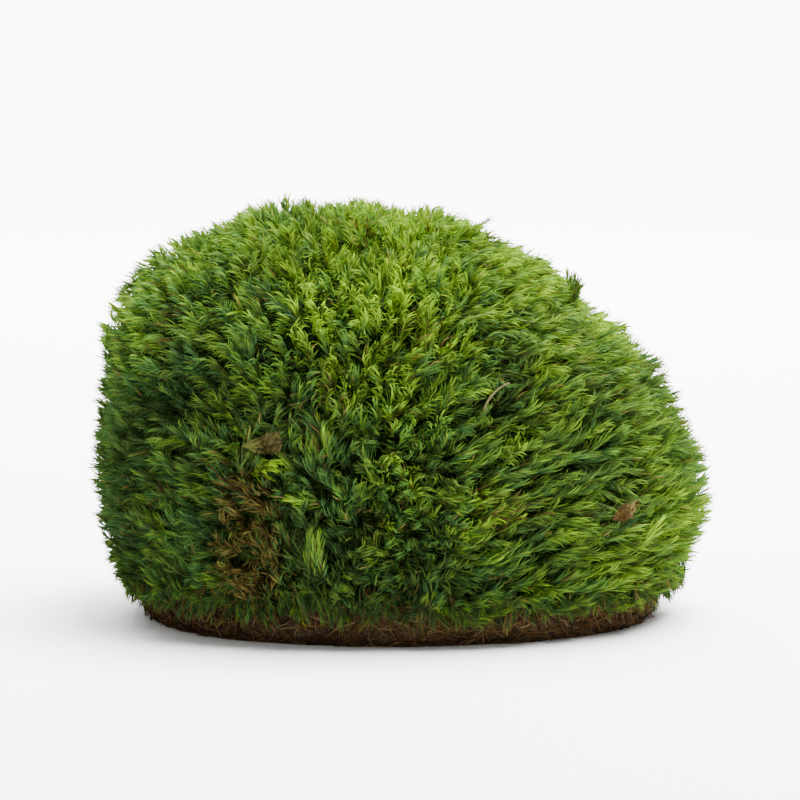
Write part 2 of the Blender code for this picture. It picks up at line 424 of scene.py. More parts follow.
@dataclass(frozen=True)
class LeafFinish:
    """Thin blades that light shines through: a tone for each leaf, darker and browner towards its foot.

    One ramp gives the colour of a leaf's point for each tone, and the other that of its foot. On the
    moss both hold three families, as LeafKind says: dead, cool green and golden green, each from its
    darkest tone to its lightest. On the moss the darker feet are painted shade of the depths between
    the shoots, and their browner tint is the leaves' own.
    """

    name: str
    points: Stops
    feet: Stops
    glow: float = 0.30
    roughness: tuple[float, float] = (0.50, 0.68)
    specular: float = 0.02

    def material(self) -> Material:
        """The finish as nodes: tone from the map's column, foot to point from its height.

        Returns:
            The material.
        """
        sheet = NodeSheet(self.name)
        u, along = sheet.mapped_place(LEAF_MAP)
        scaled = sheet.times(u, float(ATLAS.columns))
        column = sheet.math("FLOOR", scaled)
        tone = sheet.math("DIVIDE", column, float(ATLAS.columns - 1))
        across = sheet.math("ABSOLUTE", sheet.math("SUBTRACT", sheet.math("FRACT", scaled), 0.5))
        rise = sheet.span(along, 0.05, 0.80, 0, 1)
        # Darker feet: painted shade of the depths between the shoots, with the leaves' own browner bases.
        colour = sheet.mix(rise, sheet.ramp(tone, self.feet), sheet.ramp(tone, self.points))
        lot = sheet.add("TexWhiteNoise", {"W": column}, noise_dimensions="1D").outputs["Value"]
        warm = sheet.tinted(colour, (1.14, 1.0, 0.92))
        colour = sheet.mix(sheet.span(lot, 0, 1, 0, 0.8), colour, warm)
        mottle = sheet.noise(sheet.vector(scaled, sheet.times(along, 9.0)), 1.7)
        shade = sheet.span(mottle, 0.3, 0.7, 0.76, 1.16)
        # Painted light: lighter down the middle and darker at the edges, for a folded leaf's lit keel and
        # shaded sides.
        rib = sheet.span(across, 0.02, 0.20, 1.18, 0.95)
        colour = sheet.shaded(colour, sheet.times(shade, rib))
        blade = sheet.skin(colour, sheet.span(mottle, 0.3, 0.7, *self.roughness), self.specular)
        through = sheet.add("BsdfTranslucent", {0: sheet.tinted(colour, (1.15, 1.15, 0.50))})
        both = sheet.add("MixShader", {0: self.glow, 1: blade, 2: through.outputs[0]})
        return sheet.finish(both.outputs[0])


MOSS_LEAF = LeafFinish(
    name="moss_leaf",
    points=(
        (0.00, (0.056, 0.042, 0.014)),
        (0.08, (0.120, 0.098, 0.030)),
        (0.15, (0.205, 0.178, 0.050)),
        (0.18, (0.012, 0.030, 0.011)),
        (0.34, (0.035, 0.092, 0.029)),
        (0.47, (0.087, 0.205, 0.035)),
        (0.57, (0.185, 0.400, 0.022)),
        (0.60, (0.018, 0.034, 0.012)),
        (0.77, (0.052, 0.104, 0.026)),
        (0.90, (0.132, 0.256, 0.022)),
        (1.00, (0.290, 0.530, 0.008)),
    ),
    # The feet are darker than the points: painted shade, with the leaves' own browner bases.
    feet=(
        (0.00, (0.034, 0.025, 0.010)),
        (0.15, (0.098, 0.074, 0.023)),
        (0.18, (0.008, 0.017, 0.007)),
        (0.42, (0.026, 0.056, 0.022)),
        (0.57, (0.068, 0.150, 0.026)),
        (0.60, (0.010, 0.019, 0.008)),
        (0.84, (0.036, 0.066, 0.018)),
        (1.00, (0.106, 0.180, 0.022)),
    ),
)

DEAD_STEM = LeafFinish(
    name="dead_stem",
    points=(
        (0.00, (0.020, 0.012, 0.006)),
        (0.50, (0.090, 0.048, 0.018)),
        (0.85, (0.170, 0.105, 0.042)),
        (1.00, (0.260, 0.190, 0.090)),
    ),
    feet=((0.00, (0.012, 0.008, 0.004)), (1.00, (0.080, 0.050, 0.022))),
    glow=0.06,
    roughness=(0.62, 0.85),
)


@dataclass(frozen=True)
class ShadedStemFinish:
    """Stems behind the leaves, painted as shade: two near-black greens in soft patches, with a crumbly
    relief.
    """

    name: str = "shaded_stems"
    # Painted shade: both greens are near black, so the gaps between the shoots read as shade.
    dark: Triple = (0.004, 0.008, 0.002)
    light: Triple = (0.022, 0.040, 0.009)
    grain: float = 1500.0
    relief: float = 0.8 * MM

    def material(self) -> Material:
        """The finish as nodes on Object coordinates.

        Returns:
            The material.
        """
        sheet = NodeSheet(self.name)
        place = sheet.solid_place()
        patch = sheet.span(sheet.noise(place, self.grain / 5, 3.0), 0.3, 0.7, 0.35, 1)
        crumb = sheet.noise(place, self.grain, 6.0)
        blend = sheet.times(patch, sheet.span(crumb, 0.35, 0.65, 0, 1))
        colour = sheet.mix(blend, self.dark, self.light)
        rough = sheet.span(crumb, 0.3, 0.7, 0.86, 0.98)
        bump = sheet.bump(crumb, 0.8, self.relief)
        return sheet.finish(sheet.skin(colour, rough, 0.0, Normal=bump))


@dataclass(frozen=True)
class CutMatFinish:
    """The mat of dead stems: felted threads round its edge, and the cut ends of stems underneath."""

    name: str = "cut_stem_mat"
    soil: Triple = (0.014, 0.009, 0.005)
    thread: Triple = (0.085, 0.052, 0.022)
    pith: Triple = (0.230, 0.165, 0.085)
    threads: float = 700.0
    ends: float = 1150.0

    def material(self) -> Material:
        """The finish as nodes on Object coordinates: threads run level, and ends show on the cut alone.

        Returns:
            The material.
        """
        sheet = NodeSheet(self.name)
        place = sheet.solid_place()
        level = sheet.add("Mapping", {"Vector": place, "Scale": (1.0, 1.0, 4.5)}).outputs[0]
        felt = sheet.noise(level, self.threads, 6.0)
        edge = sheet.mix(sheet.span(felt, 0.38, 0.66, 0, 1), self.soil, self.thread)
        cell = sheet.add("TexVoronoi", {"Vector": place, "Scale": self.ends})
        size = sheet.span(cell.outputs["Color"], 0, 1, 0.16, 0.36)
        ring = sheet.math("SUBTRACT", cell.outputs["Distance"], size)
        end = sheet.span(ring, -0.04, 0.03, 1, 0)
        core = sheet.span(ring, -0.22, -0.10, 1, 0)
        under = sheet.mix(end, self.soil, sheet.mix(core, self.pith, self.thread))
        patch = sheet.span(sheet.noise(place, 90.0, 4.0), 0.35, 0.65, 0.45, 1.15)
        low = sheet.span(sheet.add("SeparateXYZ", {0: place}).outputs[2], 0.1 * MM, 0.5 * MM, 1, 0)
        colour = sheet.shaded(sheet.mix(low, edge, under), patch)
        rough = sheet.span(felt, 0.3, 0.7, 0.74, 0.94)
        bump = sheet.bump(sheet.add("Mix", {0: low, 2: felt, 3: end}).outputs[0], 0.7, 0.35 * MM)
        return sheet.finish(sheet.skin(colour, rough, 0.2, Normal=bump))


@dataclass(frozen=True)
class ScrapFinish:
    """A scrap of dead leaf: fibres along it, blotches, one worn patch, a faint rib and darker edges."""

    name: str
    blade: Triple
    blotch: Triple
    worn: Triple
    edge: Triple
    worn_at: float
    worn_reach: float

    def material(self) -> Material:
        """The finish as nodes on the piece's own map, whose u goes round it and v along it.

        Returns:
            The material.
        """
        sheet = NodeSheet(self.name)
        u, along = sheet.mapped_place(GRAIN_MAP)
        across = sheet.math("COSINE", sheet.times(u, math.tau))
        flat = sheet.vector(across, sheet.times(along, 3.0))
        spots = sheet.noise(flat, 2.6, 5.0)
        wander = sheet.math("ADD", across, sheet.times(sheet.noise(flat, 1.1), 1.2))
        drawn = sheet.vector(sheet.times(wander, 9.0), sheet.times(along, 2.2))
        fibres = sheet.noise(drawn, 1.0, 4.0)
        fine = sheet.noise(flat, 26.0, 3.0)
        colour = sheet.mix(sheet.span(spots, 0.40, 0.58, 0, 1), self.blade, self.blotch)
        near = sheet.math("ABSOLUTE", sheet.math("SUBTRACT", along, self.worn_at))
        near = sheet.math("ADD", near, sheet.times(sheet.math("SUBTRACT", spots, 0.5), 1.1))
        bare = sheet.span(near, 0.5 * self.worn_reach, self.worn_reach, 0.9, 0)
        colour = sheet.mix(bare, colour, self.worn)
        side = sheet.math("ABSOLUTE", across)
        colour = sheet.mix(sheet.span(side, 0.0, 0.07, 0.3, 0), colour, self.worn)
        colour = sheet.mix(sheet.span(side, 0.75, 1.0, 0, 0.7), colour, self.edge)
        coarse = sheet.span(fibres, 0.32, 0.68, 0.62, 1.45)
        light = sheet.times(coarse, sheet.span(fine, 0.3, 0.7, 0.85, 1.15))
        rough = sheet.span(fine, 0.3, 0.7, 0.60, 0.80)
        bump = sheet.bump(sheet.math("ADD", fibres, sheet.times(fine, 0.5)), 0.7, 0.16 * MM)
        return sheet.finish(sheet.skin(sheet.shaded(colour, light), rough, 0.03, Normal=bump))


@dataclass(frozen=True)
class StrawFinish:
    """Dry grass stalk: pale, silky along its length, with darker streaks and a few specks."""

    name: str = "dry_straw"
    light: Triple = (0.084, 0.074, 0.027)
    dark: Triple = (0.040, 0.033, 0.012)
    speck: Triple = (0.024, 0.016, 0.007)

    def material(self) -> Material:
        """The finish as nodes on the piece's own map, whose u goes round it and v along it.

        Returns:
            The material.
        """
        sheet = NodeSheet(self.name)
        u, along = sheet.mapped_place(GRAIN_MAP)
        around = sheet.times(u, 14.0)
        streak = sheet.noise(sheet.vector(around, sheet.times(along, 1.6)), 1.6, 4.0)
        spots = sheet.noise(sheet.vector(around, sheet.times(along, 14.0)), 0.7, 3.0)
        colour = sheet.mix(sheet.span(streak, 0.38, 0.66, 0, 1), self.light, self.dark)
        colour = sheet.mix(sheet.span(spots, 0.64, 0.70, 0, 0.8), colour, self.speck)
        rough = sheet.span(streak, 0.3, 0.7, 0.38, 0.60)
        bump = sheet.bump(streak, 0.6, 0.08 * MM)
        return sheet.finish(sheet.skin(colour, rough, 0.06, Normal=bump))


# ---------------------------------------------------------------- the dome's reach


@dataclass
class Envelope:
    """How far the shoots reach from the dome's middle in each direction, read from its CAD tufts.

    The blur is an angle in radians. The search for the rim starts from the usual reach.
    """

    node: str = "moss_cushion"
    middle: Array = field(default_factory=lambda: np.array([-4.0, 0.0, 28.0]) * MM)
    blur: float = 0.055
    usual_reach: float = 0.055
    foot_band: float = 0.5 * MM
    ways: Array = field(init=False)
    reaches: Array = field(init=False)
    low: Array = field(init=False)
    high: Array = field(init=False)

    def __post_init__(self) -> None:
        """Finds the tufts: vertices that stand further out than all that they share an edge with."""
        points, triangles = mesh_points(self.node)
        self.low, self.high = points.min(0), points.max(0)
        out = np.linalg.norm(points - self.middle, axis=1)
        beside = np.zeros(len(points))
        for first, second in ((0, 1), (1, 2), (2, 0)):
            np.maximum.at(beside, triangles[:, first], out[triangles[:, second]])
            np.maximum.at(beside, triangles[:, second], out[triangles[:, first]])
        tips = (out > beside) & (points[:, 2] > self.low[2] + self.foot_band)
        self.ways = unit(points[tips] - self.middle)
        self.reaches = out[tips]

    def reach(self, ways: Array) -> Array:
        """The reach in some directions: the mean of the tufts' own, weighted by exp(-(angle / blur)^2).

        Args:
            ways: Unit vectors, one row each.

        Returns:
            One distance a row, with a last axis of length one.
        """
        weight = np.exp(2 * (ways @ self.ways.T - 1) / self.blur**2) + 1e-12
        return (weight @ self.reaches / weight.sum(1))[:, None]

    def rim(self, bearings: Array, levels: Array) -> Array:
        """Places on the lower flank.

        Args:
            bearings: Radians from +x towards +y.
            levels: The height of each place.

        Returns:
            The places, one row each. Each falls away from the middle by the angle whose sine is its
            depth over its reach, which is found by repeating.
        """
        reach = np.full(len(bearings), self.usual_reach)
        east, north = np.cos(bearings), np.sin(bearings)
        for _ in range(4):
            fall = np.arcsin(np.clip((self.middle[2] - levels) / reach, -0.9, 0.9))
            ways = np.stack([east * np.cos(fall), north * np.cos(fall), -np.sin(fall)], -1)
            reach = self.reach(ways)[:, 0]
        return self.middle + ways * reach[:, None]


# ---------------------------------------------------------------- how litter lies


@dataclass
class Lie:
    """How a piece of litter lies, by its CAD solid: its middle, three axes, half sizes and bend."""

    middle: Array
    axes: Array
    half: Array
    bend: Array
    sway: Array
    margin: float = 0.3 * MM

    @classmethod
    def of(cls, node: str, outward_from: Array) -> "Lie":
        """Reads the lie of a CAD node.

        The axes are those of greatest, middle and least spread of its corners, and u and v are the
        shares along the first two. The bend is the least-squares fit of the third by 1, u, v, u^2, uv
        and v^2. The sway is that of the second by 1, u and u^2.

        Args:
            node: The node's name.
            outward_from: The place that the thinnest axis points away from.

        Returns:
            The lie.
        """
        points, _ = mesh_points(node)
        middle = (points.min(0) + points.max(0)) / 2
        _, axes = np.linalg.eigh(np.cov((points - middle).T))
        axes = axes.T[::-1].copy()
        axes[0] *= np.sign(axes[0, 0])
        axes[2] *= np.sign(axes[2] @ (middle - outward_from))
        axes[1] = np.cross(axes[2], axes[0])
        local = (points - middle) @ axes.T
        half = np.abs(local).max(axis=0)
        u, v = local[:, 0] / half[0], local[:, 1] / half[1]
        bend, *_ = np.linalg.lstsq(cls.terms(u, v), local[:, 2], rcond=None)
        sway, *_ = np.linalg.lstsq(cls.terms(u, 0 * u)[:, [0, 1, 3]], local[:, 1], rcond=None)
        return cls(middle, axes, half, bend, sway)

    @staticmethod
    def terms(u: Array, v: Array) -> Array:
        """The terms 1, u, v, u^2, uv and v^2, along a last axis."""
        return np.stack([np.ones_like(u), u, v, u * u, u * v, v * v], axis=-1)

    def outside(self, places: Array) -> tuple[Array, Array]:
        """How some places lie about the piece, as seen from straight above it.

        A place more than three half lengths away counts as far out, whatever its side.

        Args:
            places: The places, one row each.

        Returns:
            How far out each is, which is 0 in the middle and 1 on an oval a margin outside the
            piece; and the unit vector from each towards the nearest of the middle of the piece.
        """
        local = (places - self.middle) @ self.axes.T
        share = np.linalg.norm(local[:, :2] / (self.half[:2] + self.margin), axis=1, keepdims=True)
        share = share + 9.0 * (np.linalg.norm(local, axis=1, keepdims=True) > 3 * self.half[0])
        inner = 0.6 * self.half[0]
        nearest = np.clip(local[:, :1], -inner, inner) * self.axes[0]
        return share, unit(self.middle + nearest - places)

    def placed(self, u: Array, v: Array, off: Array) -> Array:
        """Places on the piece's bent middle sheet, and off it.

        Args:
            u: Shares of the half length, from -1 to 1.
            v: Shares of the half width.
            off: How far each place stands off the sheet.

        Returns:
            The places.
        """
        height = self.terms(u, v) @ self.bend + off
        aside = self.sway[0] + self.sway[1] * u + self.sway[2] * u * u
        local = np.stack([u * self.half[0], v * self.half[1] + aside, height], axis=-1)
        return self.middle + local @ self.axes


# ---------------------------------------------------------------- shoots and their leaves


class Zone(Enum):
    """The parts of the dome, each of which is one piece of that name."""

    CROWN = "moss_crown"
    FRONT_LEFT = "moss_front_left"
    FRONT_RIGHT = "moss_front_right"
    RIGHT = "moss_right_flank"
    BACK_RIGHT = "moss_back_right"
    BACK_LEFT = "moss_back_left"
    LEFT = "moss_left_flank"


# Where each zone starts and ends, in degrees round the dome from +x. The crown goes by height.
ZONE_BEARINGS: dict[Zone, tuple[float, float]] = {
    Zone.FRONT_LEFT: (-140, -90),
    Zone.FRONT_RIGHT: (-90, -38),
    Zone.RIGHT: (-38, 38),
    Zone.BACK_RIGHT: (38, 90),
    Zone.BACK_LEFT: (90, 140),
    Zone.LEFT: (140, 220),
}


@dataclass
class Shoots:
    """Standing shoots, as one row each of where they end, how they grow and what they look like.

    The combs are unit vectors across the axes, and leaves sweep to that side by the hook. The tone
    runs from 0, dark, to 1, light. Gold and dead are shares of golden green and dead leaves, and vigour
    scales the leaves.
    """

    tips: Array
    axes: Array
    combs: Array
    hook: Array
    tone: Array
    gold: Array
    dead: Array
    vigour: Array

    def rows(self) -> list[Array]:
        """The arrays of all the fields, in order."""
        return [getattr(self, each.name) for each in fields(self)]

    def chosen(self, which: Array) -> "Shoots":
        """Only the shoots at which a row of truths is true."""
        return Shoots(*(row[which] for row in self.rows()))

    @classmethod
    def together(cls, groups: list["Shoots"]) -> "Shoots":
        """The shoots of some groups, one group after the other."""
        return cls(*map(np.concatenate, zip(*(group.rows() for group in groups))))


@dataclass(frozen=True)
class BrownPatch:
    """A browned patch on the front: its middle, its half sizes and its share of dead leaves."""

    x: float
    z: float
    half_width: float
    half_height: float
    share: float

    def dead(self, places: Array) -> Array:
        """The share of dead leaves at some places, falling off round the patch's oval edge.

        Args:
            places: The places, one row each.

        Returns:
            One share a row.
        """
        aside, above = places[:, 0] - self.x, places[:, 2] - self.z
        off = np.hypot(aside / self.half_width, above / self.half_height)
        return self.share * ease(1.3 - off, 0, 0.6) * (places[:, 1] < 0)


@dataclass(frozen=True)
class Dent:
    """A shallow hollow in the dome, or a swelling where its depth is below zero."""

    middle: Triple
    reach: float
    depth: float

    def sunk(self, places: Array) -> Array:
        """How far it lowers some places: depth * (1 - r^2)^2 at a share r of its reach, or else 0."""
        share = np.linalg.norm(places - np.array(self.middle), axis=1, keepdims=True) / self.reach
        return self.depth * np.clip(1 - share * share, 0, None) ** 2


@dataclass(frozen=True)
class OddShoot:
    """A shoot on the front that stands out from its neighbours.

    Its tip shows at x and z and stands proud of the dome's reach, all in millimetres. It grows along
    lean, its leaves turn to the side of sweep, and its other values are those of Shoots.
    """

    x: float
    z: float
    proud: float
    lean: Triple
    sweep: Triple
    hook: float
    tone: float
    gold: float
    dead: float
    vigour: float


ODD_SHOOTS: tuple[OddShoot, ...] = (
    # The stub that stands up from the outline of the long slope.
    OddShoot(35.5, 73.3, -1.1, (0.00, -0.3, 0.95), (-0.3, 0.0, 0.2), 0.3, 0.58, 0.9, 0.06, 0.80),
    OddShoot(35.9, 72.9, -0.7, (0.05, 0.2, 0.95), (-0.2, 0.0, 0.2), 0.3, 0.56, 0.9, 0.08, 0.82),
    OddShoot(36.3, 72.5, -0.4, (0.10, -0.2, 0.95), (0.2, 0.0, 0.1), 0.3, 0.53, 0.9, 0.08, 0.82),
    OddShoot(36.7, 72.1, -0.2, (0.15, 0.3, 0.95), (0.3, 0.0, 0.0), 0.3, 0.50, 0.9, 0.10, 0.82),
    OddShoot(37.1, 71.7, -0.2, (0.20, -0.3, 0.90), (0.4, 0.0, 0.0), 0.3, 0.50, 0.9, 0.10, 0.84),
    OddShoot(37.5, 71.3, -0.3, (0.30, 0.1, 0.90), (0.5, 0.0, 0.0), 0.4, 0.50, 0.9, 0.10, 0.82),
    OddShoot(37.9, 70.9, -0.6, (0.40, -0.1, 0.85), (0.5, 0.0, 0.0), 0.4, 0.52, 0.9, 0.08, 0.82),
    OddShoot(38.3, 70.5, -1.0, (0.50, 0.1, 0.80), (0.6, 0.0, -0.1), 0.5, 0.54, 0.9, 0.08, 0.80),
    # The dark tip on the outline, right of the crown.
    OddShoot(20.4, 84.6, 0.5, (0.8, 0.0, 0.6), (0.6, 0.0, -0.6), 0.9, 0.42, 0.9, 0.08, 0.80),
    # Pale shoots near the left foot: two that curl over, and one that lies level.
    OddShoot(-23.6, 39.3, 0.8, (0.5, -0.8, 0.5), (0.3, 0.0, -1.0), 1.7, 0.92, 0.9, 0.00, 1.10),
    OddShoot(-26.0, 39.0, 0.7, (0.3, -0.8, 0.6), (0.5, 0.0, -1.0), 1.6, 0.82, 0.9, 0.00, 0.95),
    OddShoot(-22.5, 31.0, 0.4, (-0.9, -0.6, 0.2), (-1.0, 0.0, 0.1), 0.6, 0.86, 0.7, 0.00, 0.85),
    # The pale bud beside them.
    OddShoot(-17.6, 25.6, -1.1, (0.05, -0.45, 0.9), (0.2, 0.3, 1.0), 0.7, 0.66, 0.9, 0.00, 0.84),
    OddShoot(-16.8, 25.1, -1.0, (-0.05, -0.45, 0.9), (0.2, 0.3, 1.0), 0.7, 0.74, 0.9, 0.00, 0.84),
    OddShoot(-18.1, 23.0, -1.0, (0.05, -0.50, 0.85), (-0.2, 0.3, 1.0), 0.6, 0.56, 0.8, 0.04, 0.78),
    OddShoot(-17.0, 22.5, -0.8, (0.0, -0.50, 0.85), (0.0, 0.3, 1.0), 0.6, 0.66, 0.8, 0.04, 0.78),
    OddShoot(-15.9, 22.8, -1.0, (-0.05, -0.50, 0.85), (0.2, 0.3, 1.0), 0.6, 0.62, 0.8, 0.04, 0.78),
    # The pale shoot low on the long slope.
    OddShoot(52.0, 25.3, 0.8, (0.5, -0.5, 0.8), (0.5, 0.0, 0.8), 0.6, 0.92, 0.9, 0.05, 1.05),
)


@dataclass
class Meadow:
    """Plants the shoots over the dome: a spiral of directions, nudged, pressed down and combed.

    The two balls are numbers of directions in a whole ball. Each slope begins over a span of x, and
    the upper part over a span of z.
    """

    envelope: Envelope
    whole_ball: int = 7300
    fine_ball: int = 60000
    drift: float = 0.36
    foot: Array = field(default_factory=lambda: np.array([-8.0, 0.0, 6.0]) * MM)
    lowest: float = 6.5 * MM
    long_slope: tuple[float, float] = (-8 * MM, 42 * MM)
    left_slope: tuple[float, float] = (12 * MM, 52 * MM)
    upper_part: tuple[float, float] = (38 * MM, 76 * MM)
    uneven: float = 1.3 * MM
    clump_width: float = 6.0 * MM
    clump_depth: float = 1.9 * MM
    lobe_width: float = 10.0 * MM
    crevice_depth: float = 2.6 * MM
    press: float = 4.8 * MM
    dead_sink: float = 0.9 * MM
    crossing_each: int = 11
    crossing_slim: float = 0.6
    crossing_height: float = 0.8 * MM
    slim_litter: float = 1.5 * MM
    skirt_tiers: tuple[Triple, ...] = ((7.4, 38.0, 0.06), (5.6, 56.0, 0.20), (3.8, 74.0, 0.45))
    skirt_around: int = 170
    skirt_top: float = 9.5 * MM
    skirt_lowest: float = 2.0 * MM
    brown_patches: tuple[BrownPatch, ...] = (
        BrownPatch(-32 * MM, 21 * MM, 7.0 * MM, 18 * MM, 0.78),
        BrownPatch(4 * MM, 66 * MM, 5 * MM, 4 * MM, 0.22),
        BrownPatch(27 * MM, 29 * MM, 5 * MM, 4 * MM, 0.28),
        BrownPatch(-2 * MM, 26 * MM, 8 * MM, 5 * MM, 0.14),
    )
    dents: tuple[Dent, ...] = (
        Dent((46 * MM, 0.0, 66 * MM), 19 * MM, 4.6 * MM),
        Dent((57 * MM, 0.0, 50 * MM), 9 * MM, -2.0 * MM),
    )
    odd_shoots: tuple[OddShoot, ...] = ODD_SHOOTS
    seed: int = 5

    def directions(self, whole_ball: int) -> Array:
        """Directions that turn by the golden angle from one to the next, each moved a little.

        Args:
            whole_ball: How many there are, the number n in z = 1 - (2i + 1) / n.

        Returns:
            Unit vectors, one row each, from straight up to straight down.
        """
        chance = np.random.default_rng(self.seed)
        i = np.arange(whole_ball)
        z = 1 - (2 * i + 1) / whole_ball
        ring = np.sqrt(1 - z * z)
        ways = np.stack([ring * np.cos(i * GOLDEN_ANGLE), ring * np.sin(i * GOLDEN_ANGLE), z], axis=-1)
        spacing = math.sqrt(4 * math.pi / whole_ball)
        return unit(ways + chance.uniform(-1, 1, ways.shape) * self.drift * spacing)

    def along_slope(self, places: Array) -> Array:
        """How far some places are on the long slope, by x: 0 left of the crown and 1 well down it."""
        return ease(places[:, :1], *self.long_slope)

    def relief(self, places: Array) -> tuple[Array, Array]:
        """The growth of the surface at some places.

        Args:
            places: The places, one row each.

        Returns:
            Smooth noise from -1 to 1 for the clumps of shoots; and how deep in a crevice between two
            lobes each place is, from 0 to 1, which is where a broader field of noise crosses zero.
            Both have a last axis of length one.
        """
        clump = smooth_noise(places, self.clump_width, 3)
        lobe = np.abs(smooth_noise(places, self.lobe_width, 4) + 0.25 * smooth_noise(places, 4 * MM, 5))
        open_share = ease(smooth_noise(places, 16 * MM, 6), -0.7, 0.3)
        return clump[:, None], ((1 - ease(lobe, 0.0, 0.20)) * open_share)[:, None]

    def sunk(self, places: Array, dented: float = 1.0) -> Array:
        """How far the surface lies below the dome's reach, by its relief and its dents.

        Args:
            places: Places at the reach, one row each.
            dented: The share of each dent's depth that counts.

        Returns:
            One depth a row, with a last axis of length one.
        """
        clump, crevice = self.relief(places)
        dents = dented * sum(dent.sunk(places) for dent in self.dents)
        lumps = self.clump_depth * (0.5 - 0.5 * clump) + self.crevice_depth * crevice
        return np.maximum(lumps + dents, 0)

    def about_litter(self, places: Array, litter: list[Lie]) -> tuple[Array, Array]:
        """What litter does to the shoots about it.

        Args:
            places: Where the shoots reach the surface, one row each.
            litter: How each piece lies.

        Returns:
            How far each shoot is pressed down under a piece, and a vector that bends those beside it
            over its edge, as long as the bend is strong.
        """
        depth, bend = np.zeros((len(places), 1)), np.zeros(places.shape)
        for lie in litter:
            out, inward = lie.outside(places)
            depth = np.maximum(depth, self.press * ease(-out, -1.0, -0.72))
            bend += inward * ease(out, 0.72, 0.95) * ease(-out, -1.8, -1.1)
        return depth, bend

    def grow(self, litter: list[Lie]) -> Shoots:
        """Plants the green shoots.

        A shoot grows away from the foot of the dome. On the long slope it is combed towards the
        right, and its leaves sweep right and up low down, right and down higher up. Left of the crown
        they droop. Fields of smooth noise turn neighbouring shoots together. Shoots are painted lighter
        higher up and on the clumps, as light from above, and darker in the crevices and towards the
        left, as shade.

        Args:
            litter: How each piece of litter lies.

        Returns:
            The shoots.
        """
        chance = np.random.default_rng(self.seed + 1)
        ways = self.directions(self.whole_ball)
        surface = self.envelope.middle + ways * self.envelope.reach(ways)
        keep = surface[:, 2] > self.lowest
        ways, surface = ways[keep], surface[keep]
        size = (len(ways), 1)
        clump, crevice = self.relief(surface)
        sink = self.sunk(surface) + self.uneven * chance.random(size) ** 1.5
        dead = sum(patch.dead(surface) for patch in self.brown_patches)
        stray = 0.16 * ease(smooth_noise(surface, 10 * MM, 41), 0.35, 0.8)
        dead = np.clip(dead + stray, 0, 1)[:, None]
        press, inward = self.about_litter(surface, litter)
        sink = np.maximum(sink + self.dead_sink * dead, press)

        right, left = self.along_slope(surface), ease(-surface[:, :1], *self.left_slope)
        high = ease(surface[:, 2:], *self.upper_part)
        lean = right * (0.75, 0, 0) + right * (0.10 - 0.45 * high) * (0, 0, 1) + left * (-0.15, 0, 0.05)
        swirl = 0.36 * noise_vectors(surface, 9 * MM, 11) + 0.20 * chance.normal(size=ways.shape)
        axes = unit(unit(surface - self.foot) + lean + swirl)
        combs = right * (0.8, 0, 0) + right * (0.50 - 1.3 * high) * (0, 0, 1)
        combs = combs + (1 - right) * (0.35 - 1.25 * high) * (0, 0, 1) + left * (-0.5, 0, -0.1)
        combs = combs + 1.1 * noise_vectors(surface, 6 * MM, 21) + 0.65 * chance.normal(size=ways.shape)
        axes, combs = unit(axes + 0.4 * inward), combs + 0.6 * inward
        combs = unit(square_to(combs, axes))
        hook = 0.60 + 0.90 * chance.random(size) + 0.35 * (1 - right) + 0.45 * high

        patches = 0.13 * smooth_noise(surface, 22 * MM, 31) + 0.12 * smooth_noise(surface, 7 * MM, 32)
        tone = 0.49 + patches[:, None] + 0.06 * chance.normal(size=size)
        # Painted light and shade: lighter on the clumps that stand out, darker in the crevices.
        tone = tone + 0.09 * clump - 0.16 * crevice
        # Painted light from above: lighter higher up. Painted shade: darker towards the left.
        tone = tone + 0.23 * high + (0.06 - 0.06 * high) * right - 0.08 * left
        gold = 0.60 + 0.55 * smooth_noise(surface, 5 * MM, 33)[:, None] + 0.30 * chance.normal(size=size)
        gold = gold + 0.14 * high + 0.24 * right - 0.06 * left
        vigour = 0.86 + 0.26 * chance.random(size)
        return Shoots(surface - ways * sink, axes, combs, hook, tone, gold, dead, vigour)

    def crossing(self, litter: list[Lie]) -> Shoots:
        """Plants the shoots that lie across the edges of the litter and hold it down.

        They stand round each piece at the golden angle, with their tips over it and their feet
        outside it. On the long slope they lean to the right, as its other shoots do. A slim piece has
        fewer.

        Args:
            litter: How each piece of litter lies.

        Returns:
            The shoots.
        """
        chance = np.random.default_rng(self.seed + 3)
        held = []
        for lie in litter:
            slim = lie.half[1] <= self.slim_litter
            number = round(self.crossing_each * (self.crossing_slim if slim else 1))
            size = (number, 1)
            turn = GOLDEN_ANGLE * np.arange(number) + math.tau * chance.random()
            turn = turn + 0.3 * chance.normal(size=number)
            share = 0.80 + 0.20 * chance.random(number)
            u, v = share * np.cos(turn), share * np.sin(turn)
            tips = lie.placed(u, v, np.full(number, self.crossing_height))
            sideways = chance.normal(size=(number, 3)) * 0.35
            inward = -(np.cos(turn)[:, None] * lie.axes[0] + np.sin(turn)[:, None] * lie.axes[1])
            lean = self.along_slope(tips) * (1.3, 0, 0.1)
            axes = unit(0.75 * inward + sideways + 1.3 * lie.axes[2] + lean)
            combs = inward + 0.5 * chance.normal(size=(number, 3)) - 0.3 * lie.axes[2]
            combs = unit(square_to(combs, axes))
            tone = 0.54 + 0.12 * chance.normal(size=size)
            vigour = 0.50 + 0.18 * chance.random(size)
            gold, dead = 0.55 + 0.45 * chance.random(size), np.full(size, 0.04)
            hook = 0.8 + 0.8 * chance.random(size)
            held.append(Shoots(tips, axes, combs, hook, tone, gold, dead, vigour))
        return Shoots.together(held)

